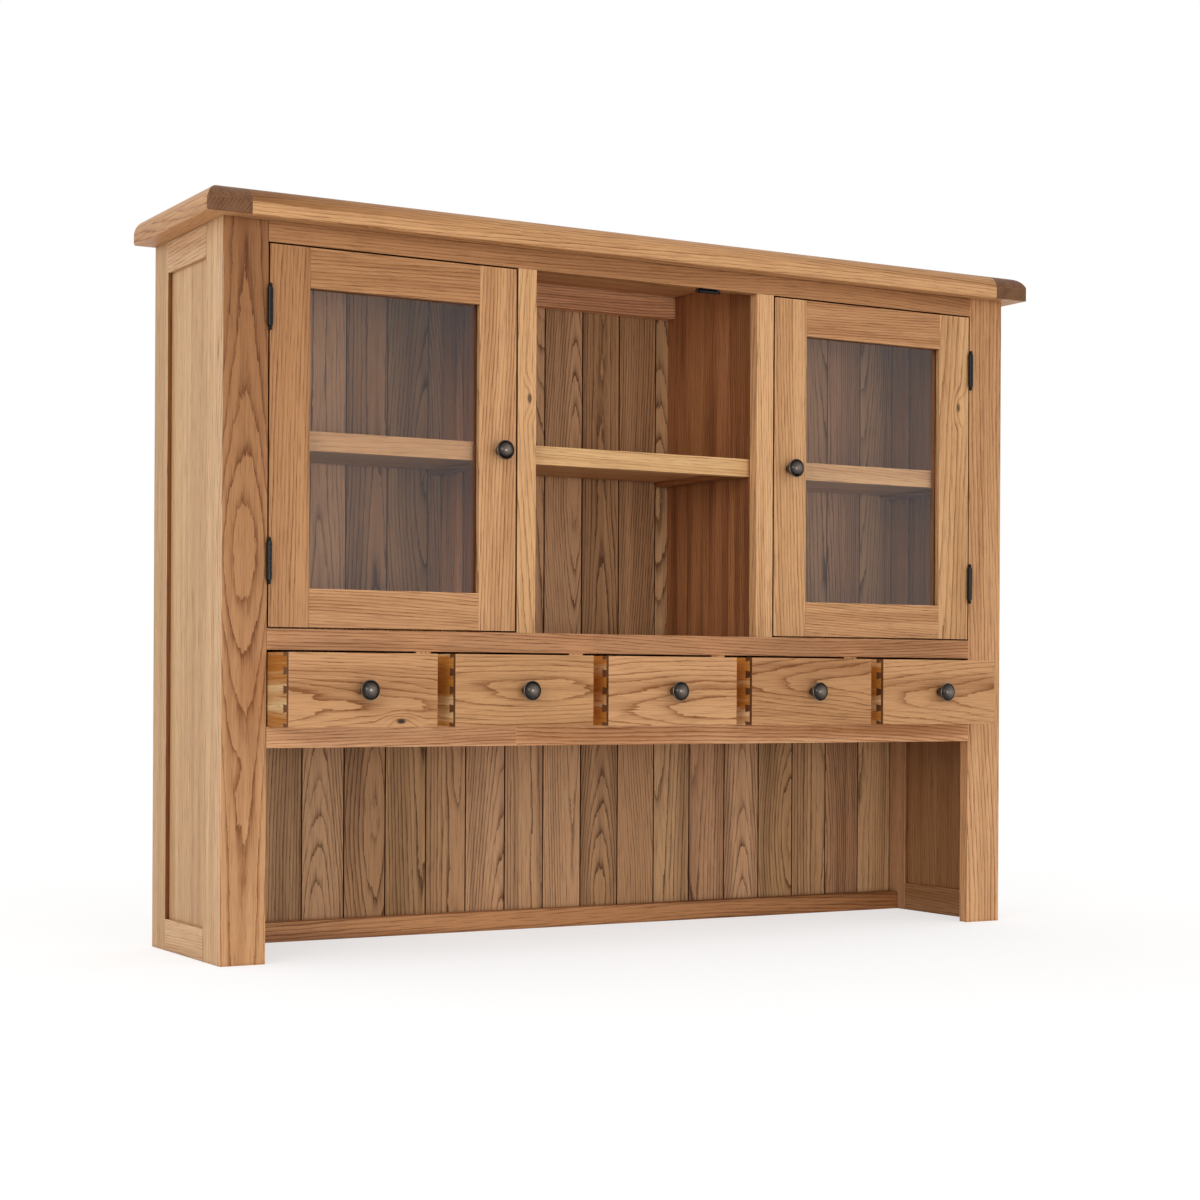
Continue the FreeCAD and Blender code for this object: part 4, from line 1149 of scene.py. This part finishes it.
class HUTCH_OT_top(HutchOperator):
    """Top board, glued up from two layers of staves, and its two end boards."""
    bl_idname = "hutch.top"
    bl_label = "Top"

    def execute(self, context):
        node = "top_board"
        draw = random.Random(node)
        glue_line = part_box(node)[0].z + sizes().lamina
        lower, upper = sawn(solid_mesh(solids_of(node)[0]), Z, (glue_line,))
        calm = {"along": X, "wander": 0.6, "bow": 0.3}
        boards = [Board(stave, draw, "rift", tone=0.05, **calm) for stave in staves(lower, Y, TOP_STAVE)]
        for strip, (joint, tones, falls) in zip(sawn(upper, Y, TOP_RIPS), TOP_STRIPS):
            for stave, tone, fall in zip(sawn(strip, X, (joint,)), tones, falls):
                heart = (draw.uniform(*RIFT_HEART[0]), *TOP_HEART)
                boards.append(Board(stave, draw, "rift", tone=tone, fall=fall, heart=heart, **calm))
        board_piece(node, boards)
        for end in ("top_end_left", "top_end_right"):
            oak_piece(end, each=({"saw": (Z, sizes().lamina)},), along=Y, tone=-0.05)
        return {"FINISHED"}


class HUTCH_OT_face_frame(HutchOperator):
    """Stiles, rails, mullions and dividers of the front."""
    bl_idname = "hutch.face_frame"
    bl_label = "Face frame"

    def execute(self, context):
        # The stiles fall darker towards the top as painted shade under the top's overhang, and the top rail's
        # low tone is partly its own and partly painted shade there
        oak_piece("face_stile_left", tone=-0.28, fall=-0.26, heart=(-0.056, 0.0, 0.0439),
                  knot=(-0.24, -0.006, -0.6), ring=1.63, wander=0.5, bow=4.45, stain=self.outer_edge)
        oak_piece("face_stile_right", tone=0.0, fall=-0.15)
        oak_piece("face_top_rail", tone=-0.37)
        oak_piece("face_mid_rail", tone=-0.05, warm=-0.005)
        self.drawer_rail()
        oak_piece("face_mullions", each=({"knot": (0.079, 0.004, 0.8)}, {"tone": 0.18}), tone=0.1)
        oak_piece("drawer_dividers")
        return {"FINISHED"}

    def outer_edge(self, facing, place):
        """Bleach on the left stile's outer edge, which is finished with the side."""
        return -1.0 if facing.x < -FACING else 0.0

    def drawer_rail(self):
        """Drawer rail, joined end to end from two lengths under the left mullion."""
        node = "face_drawer_rail"
        draw = random.Random(node)
        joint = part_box("face_mullions")[0].x
        lengths = sawn(solid_mesh(solids_of(node)[0]), X, (joint,))
        # The lengths are toned lighter, the right one strongly, as painted light where the open drawers shade
        # the rail
        traits = ({"tone": 0.2, "deep": 0.12, "fall": 0.06, "warm": -0.006},
                  {"tone": 0.62, "deep": 0.45, "fall": -0.04, "warm": -0.003, "wander": 1.6, "bow": 2.0})
        board_piece(node, [Board(stave, draw, "rift", **trait) for stave, trait in zip(lengths, traits)])


class HUTCH_OT_sides(HutchOperator):
    """Side frames and their panels, with painted shade on their inner faces and in the edges of the frame's
    recess.
    """
    bl_idname = "hutch.sides"
    bl_label = "Sides"

    def execute(self, context):
        for side, inward, back_stile in (("left", 1, -0.12), ("right", -1, 0.28)):
            stain = self.stain(side, inward)
            oak_piece("side_frame_" + side, each=({}, {"tone": back_stile}), stain=stain)
            oak_piece("side_panel_" + side, ease=sizes().edge_ease, each=({"saw": (Y, PANEL_STAVE)},),
                      tone=-0.05, stain=stain)
        return {"FINISHED"}

    def stain(self, side, inward):
        """Share of painted shade on a face of one side, from the way it faces and its place."""
        low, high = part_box("side_panel_" + side)

        def share(facing, place):
            # Inner faces and the faces of the recess get painted shade
            if facing.x * inward > FACING:
                return INNER_PAINTED_SHADE
            if abs(facing.y) > FACING and low.y < place.y < high.y:
                return RECESS_PAINTED_SHADE
            return 0.0
        return share


class HUTCH_OT_inside(HutchOperator):
    """Partitions, floors and drawer guides."""
    bl_idname = "hutch.inside"
    bl_label = "Inside"

    def execute(self, context):
        back_stiles = {"left": {"tone": 0.5, "fall": -0.6}, "right": {}}
        for side, back_stile in back_stiles.items():
            board = {"along": Z, "saw": (Y, PARTITION_STAVE), "tone": 0.06}
            oak_piece("partition_" + side, each=(board, {}, back_stile))
        for node in ("cupboard_floor", "drawer_bay_floor"):
            oak_piece(node, each=({"saw": (Y, FLOOR_STAVE)},), along=X)
        oak_piece("drawer_guides")
        return {"FINISHED"}


class HUTCH_OT_back(HutchOperator):
    """Matchboards of the back, their rails and the nails that hold them."""
    bl_idname = "hutch.back"
    bl_label = "Back"

    def execute(self, context):
        size = sizes()
        low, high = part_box("back_boards")
        pitch = (high.x - low.x) / size.board_count
        half = Vector(((pitch - size.board_gap) / 2, (high.y - low.y) / 2, (high.z - low.z) / 2))
        middle = (low + high) / 2
        board = self.board_mesh(half, size.board_vee)
        first = Vector((low.x + pitch / 2, middle.y, middle.z))
        tongue = (pitch * TONGUE_SHARE, size.tongue_thickness, 2 * half.z - size.board_gap)
        values = {"Count": size.board_count, "Pitch": pitch, "First": first, "Tongue": tongue,
                  "Seed": BOARD_SEED, "Finish": finish("oak_back")}
        for trait, (least, most) in BOARD_TRAITS.items():
            values[trait + " Least"] = least
            values[trait + " Most"] = most
        mesh = grow(board, matchboard_tree(), values)
        new_piece("oak_back_boards", mesh, "carcass", "oak_back", ("back_boards",))
        oak_piece("back_rails", each=({"tone": 1.1}, {"tone": 0.26, "fall": -0.3, "warm": 0.006}))
        self.nail(low, high, pitch)
        return {"FINISHED"}

    def board_mesh(self, half, vee):
        """One matchboard round the origin, chamfered along the two front edges."""
        bm = bmesh.new()
        outline = [(-half.x + vee, -half.y), (half.x - vee, -half.y), (half.x, -half.y + vee),
                   (half.x, half.y), (-half.x, half.y), (-half.x, -half.y + vee)]
        base = bm.faces.new([bm.verts.new((x, y, -half.z)) for x, y in outline])
        lifted = bmesh.ops.extrude_face_region(bm, geom=[base])["geom"]
        moved = [item for item in lifted if isinstance(item, bmesh.types.BMVert)]
        bmesh.ops.translate(bm, verts=moved, vec=(0.0, 0.0, 2 * half.z))
        settle(bm)
        mesh = mesh_of_boards("matchboard", [Board(bm, random.Random("matchboard"), "crown")])
        for label in (HEART, LOOK, FIGURE):
            mesh.attributes.remove(mesh.attributes[label])
        return mesh

    def nail(self, low, high, pitch):
        """Nail heads at the back, where the boards cross rails, floors and shelves."""
        size = sizes()
        rows = []
        for node in ("cupboard_floor", "drawer_bay_floor", "shelf_centre"):
            bottom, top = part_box(node)
            rows.append((bottom.z + top.z) / 2)
        rail_low, rail_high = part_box("back_rails")
        rows += [rail_low.z + NAIL_ROW_LOW, rail_high.z - NAIL_ROW_HIGH]
        points = []
        for height in rows:
            for side in (-1, 1):
                points.append((low.x + pitch / 2 + side * size.nail_spread, high.y - NAIL_SINK, height))
        mesh = grow(plain_mesh("nail_spots", points), nail_tree(), {
            "Count": size.board_count, "Pitch": pitch, "Radius": size.nail_radius, "Stand": NAIL_STAND,
            "Finish": finish("steel")})
        new_piece("back_nails", mesh, "carcass", "steel")


class HUTCH_OT_shelves(HutchOperator):
    """Three shelves and their cleats."""
    bl_idname = "hutch.shelves"
    bl_label = "Shelves"

    def execute(self, context):
        for bay, tone in (("left", -0.1), ("centre", 0.0), ("right", 0.18)):
            oak_piece("shelf_" + bay, along=X, tone=tone)
        oak_piece("shelf_cleats")
        return {"FINISHED"}


class HUTCH_OT_doors(HutchOperator):
    """Stiles, rails, beads and panes of the two doors."""
    bl_idname = "hutch.doors"
    bl_label = "Doors"

    def execute(self, context):
        traits = {
            # The left door's stiles fall darker towards the top as painted shade under the top's overhang
            "left_door_hinge_stile": {"tone": -0.2, "fall": -0.1, "ring": 1.3},
            "left_door_lock_stile": {"tone": -0.02, "fall": -0.08, "ring": 1.3},
            "left_door_rails": {"each": ({"tone": -0.22}, {"tone": -0.05})},
            "right_door_hinge_stile": {"tone": 0.06, "ring": 1.3, "knot": (0.117, 0.009, 0.8)},
            "right_door_lock_stile": {"ring": 1.3},
            "right_door_rails": {"each": ({"tone": -0.1},)},
        }
        for node, trait in traits.items():
            oak_piece(node, **trait)
        for door in DOORS:
            oak_piece(door + "_beads", ease=sizes().edge_ease)
            dress(door + "_glass")
            self.pin(door)
        return {"FINISHED"}

    def pin(self, door):
        """Heads of the panel pins in the glazing beads, on the inside of a door."""
        size = sizes()
        low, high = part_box(door + "_beads")
        points = []
        for x in (low.x + PIN_INSET, high.x - PIN_INSET):
            points += [(x, high.y, z) for z in spaced(low.z, high.z, size.pin_pitch)]
        for z in (low.z + PIN_INSET, high.z - PIN_INSET):
            points += [(x, high.y, z) for x in spaced(low.x, high.x, size.pin_pitch)]
        mesh = grow(plain_mesh(door + "_pin_spots", points), nail_tree(), {
            "Count": 1, "Pitch": 0.0, "Radius": size.pin_radius, "Stand": PIN_STAND,
            "Finish": finish("steel")})
        new_piece(door + "_bead_pins", mesh, door, "steel")


def spaced(start, end, pitch):
    """Places between two ends, about a pitch apart and half a step from each end."""
    count = max(1, round((end - start) / pitch))
    step = (end - start) / count
    return [start + (index + 0.5) * step for index in range(count)]


class HUTCH_OT_ironwork(HutchOperator):
    """Hinges, catches, strikes and the fitting under the top rail."""
    bl_idname = "hutch.ironwork"
    bl_label = "Ironwork"

    def execute(self, context):
        for node in ("hinge_frame_leaves", "hinge_pins", "door_catches", "rail_fitting"):
            dress(node)
        for door in DOORS:
            dress(door + "_hinge_leaves")
            dress(door + "_strike")
        return {"FINISHED"}


class HUTCH_OT_knobs(HutchOperator):
    """Turned knobs of the doors and drawers, and their screws."""
    bl_idname = "hutch.knobs"
    bl_label = "Knobs"

    def execute(self, context):
        for body in (*DOORS, *DRAWERS):
            knob, screw = (solid_mesh(triangles) for triangles in solids_of(body + "_knob"))
            self.knob(body, knob)
            new_piece(body + "_knob_screw", smooth_mesh(body + "_screw", screw), body, "steel")
        return {"FINISHED"}

    def knob(self, body, bm):
        """Knob with a foot, conical back, rim, groove and dome, as wide and deep as the frame's."""
        size = sizes()
        low, high = span(bm)
        bm.free()
        rim = (high.x - low.x) / 2
        deep = high.y - low.y
        dome = size.knob_dome
        start = deep - size.knob_dome_rise
        ball = (dome ** 2 + size.knob_dome_rise ** 2) / (2 * size.knob_dome_rise)
        foot = size.knob_foot
        flare = size.knob_flare
        neck = start - size.knob_rim
        profile = [(0.0, 0.0, 0.0), (foot, 0.0, 0.0), (foot + FOOT_BEAD, FOOT_HEIGHT / 2, FOOT_RUB_AND_HIGHLIGHT),
                   (foot, FOOT_HEIGHT, 0.0)]
        for share in BACK_SHARES:
            bulge = BACK_BULGE * math.sin(math.pi * share)
            rise = FOOT_HEIGHT + (neck - FOOT_HEIGHT) * share
            profile.append((foot + (flare - foot) * share + bulge, rise, 0.0))
        for edge, level, points in ((rim, neck, RIM_BACK), (rim, start, RIM_FRONT), (dome, start, (GROOVE,))):
            profile += [(edge + out, level + ahead, rub) for out, ahead, rub in points]
        profile.append((dome, start, 0.0))
        tilt = math.asin(dome / ball)
        for step in range(1, DOME_STEPS + 1):
            angle = tilt * (1 - step / DOME_STEPS)
            radius = ball * math.sin(angle) if step < DOME_STEPS else 0.0
            # Rubbing and painted highlight, strongest at the crown of the dome
            rub = (1 - radius / dome) ** DOME_RUB_AND_HIGHLIGHT_POWER
            profile.append((radius, deep - ball + ball * math.cos(angle), rub))
        middle = (low + high) / 2
        mesh = turned([(radius, -depth, rub) for radius, depth, rub in profile],
                      Vector((middle.x, high.y, middle.z)))
        new_piece(body + "_turned_knob", mesh, body, "pewter", (body + "_knob",))


class HUTCH_OT_drawers(HutchOperator):
    """Fronts and dovetailed boxes of the drawers."""
    bl_idname = "hutch.drawers"
    bl_label = "Drawers"

    def execute(self, context):
        knots = {"drawer_1": (0.057, -0.044, 1.0)}
        for drawer, tone in zip(DRAWERS, FRONT_TONES):
            oak_piece(drawer + "_front", "crown", tone=tone, knot=knots.get(drawer), ring=0.9, wander=1.6)
            box = PALE_BOX if drawer == DRAWERS[0] else GOLDEN_SHADED_BOX
            oak_piece(drawer + "_box", "crown", **box)
        return {"FINISHED"}


class HUTCH_OT_stage(HutchOperator):
    """Floor, lamps, sky and camera."""
    bl_idname = "hutch.stage"
    bl_label = "Stage"

    def execute(self, context):
        stage = context.scene.hutch_stage
        self.floor(stage)
        self.sky(context, stage)
        self.lamp("key_lamp", stage.key_place, stage.key_size, stage.key_power)
        self.lamp("low_lamp", stage.low_place, stage.low_size, stage.low_power)
        self.camera(context, stage)
        context.scene.view_settings.view_transform = "Standard"
        return {"FINISHED"}

    def seen(self, nodes):
        """Share of a ray that comes from the camera, a reflection or glass."""
        light = nodes.add("ShaderNodeLightPath")
        share = nodes.math("MAXIMUM", light.outputs["Is Camera Ray"], light.outputs["Is Glossy Ray"])
        return nodes.math("MAXIMUM", share, light.outputs["Is Transmission Ray"])

    def floor(self, stage):
        """Pale floor, which turns white away from the hutch."""
        material, nodes = new_material("pale_floor")
        place = nodes.here()
        mottle = nodes.noise(place, *MOTTLE_NOISE)
        tone = stage.floor_shade
        colour = nodes.mix(nodes.ramp(mottle, *MOTTLE_LEVELS), tone, tinted(tone, 0.99))
        matt = nodes.add("ShaderNodeBsdfDiffuse", {"Color": colour})
        glow = nodes.add("ShaderNodeEmission", {"Strength": stage.floor_white})
        seen = self.seen(nodes)
        near = nodes.between(nodes.math("MULTIPLY", seen, stage.floor_glow), matt, glow)
        far = nodes.ramp(nodes.long(place), stage.fade_start, stage.fade_end)
        white = nodes.add("ShaderNodeEmission", {"Strength": 1.0})
        show(nodes, nodes.between(nodes.math("MULTIPLY", far, seen), near, white))
        signs = ((-1, -1), (1, -1), (1, 1), (-1, 1))
        corners = [(FLOOR_REACH * x, FLOOR_REACH * y, 0.0) for x, y in signs]
        mesh = plain_mesh("floor", corners, [(0, 1, 2, 3)])
        mesh.materials.append(material)
        new_object("floor", mesh)

    def sky(self, context, stage):
        """Even light from all round, which is white where it is seen."""
        world = bpy.data.worlds.new("sky")
        world.use_nodes = True
        world.node_tree.nodes.clear()
        nodes = Nodes(world.node_tree)
        soft = nodes.add("ShaderNodeBackground", {"Color": (1.0, 1.0, 1.0, 1.0), "Strength": stage.sky_level})
        white = nodes.add("ShaderNodeBackground", {"Color": (1.0, 1.0, 1.0, 1.0), "Strength": 1.0})
        both = nodes.between(self.seen(nodes), soft, white)
        nodes.add("ShaderNodeOutputWorld", {"Surface": both.outputs[0]})
        context.scene.world = world

    def lamp(self, name, place, size, power):
        """Square lamp aimed at the hutch."""
        light = bpy.data.lights.new(name, "AREA")
        light.size = size
        light.energy = power
        aim = Vector(LAMP_AIM) - place
        turn = aim.to_track_quat("-Z", "Y").to_matrix().to_4x4()
        new_object(name, light).matrix_world = Matrix.Translation(place) @ turn

    def camera(self, context, stage):
        """Level camera at the front left."""
        lens = bpy.data.cameras.new("camera")
        lens.lens = stage.camera_lens
        lens.shift_y = stage.camera_rise
        camera = new_object("camera", lens)
        turn = Matrix.Rotation(-stage.camera_yaw, 4, "Z") @ Matrix.Rotation(math.pi / 2, 4, "X")
        roll = Matrix.Rotation(stage.camera_roll, 4, "Z")
        camera.matrix_world = Matrix.Translation(stage.camera_place) @ turn @ roll
        context.scene.camera = camera


STEPS = (HUTCH_OT_top, HUTCH_OT_face_frame, HUTCH_OT_sides, HUTCH_OT_inside, HUTCH_OT_back, HUTCH_OT_shelves,
         HUTCH_OT_doors, HUTCH_OT_ironwork, HUTCH_OT_knobs, HUTCH_OT_drawers, HUTCH_OT_stage)


class HUTCH_PT_panel(bpy.types.Panel):
    """Sizes, colours and building steps of the hutch."""
    bl_idname = "HUTCH_PT_panel"
    bl_label = "Oak hutch"
    bl_space_type = "VIEW_3D"
    bl_region_type = "UI"
    bl_category = "Hutch"

    def draw(self, context):
        for group in (context.scene.hutch_sizes, context.scene.hutch_finishes, context.scene.hutch_stage):
            box = self.layout.box()
            for name in group.__annotations__:
                box.prop(group, name)
        for step in STEPS:
            self.layout.operator(step.bl_idname)


CLASSES = (HutchSizes, HutchFinishes, HutchStage, *STEPS, HUTCH_PT_panel)


def register():
    """Add the classes and the settings of the hutch."""
    for item in CLASSES:
        bpy.utils.register_class(item)
    bpy.types.Scene.hutch_sizes = PointerProperty(type=HutchSizes)
    bpy.types.Scene.hutch_finishes = PointerProperty(type=HutchFinishes)
    bpy.types.Scene.hutch_stage = PointerProperty(type=HutchStage)


def unregister():
    """Take the settings and the classes of the hutch away."""
    del bpy.types.Scene.hutch_stage
    del bpy.types.Scene.hutch_finishes
    del bpy.types.Scene.hutch_sizes
    for item in reversed(CLASSES):
        bpy.utils.unregister_class(item)


def main():
    """Build the hutch step by step."""
    register()
    for step in STEPS:
        family, name = step.bl_idname.split(".")
        getattr(getattr(bpy.ops, family), name)()


if __name__ == "__main__":
    main()
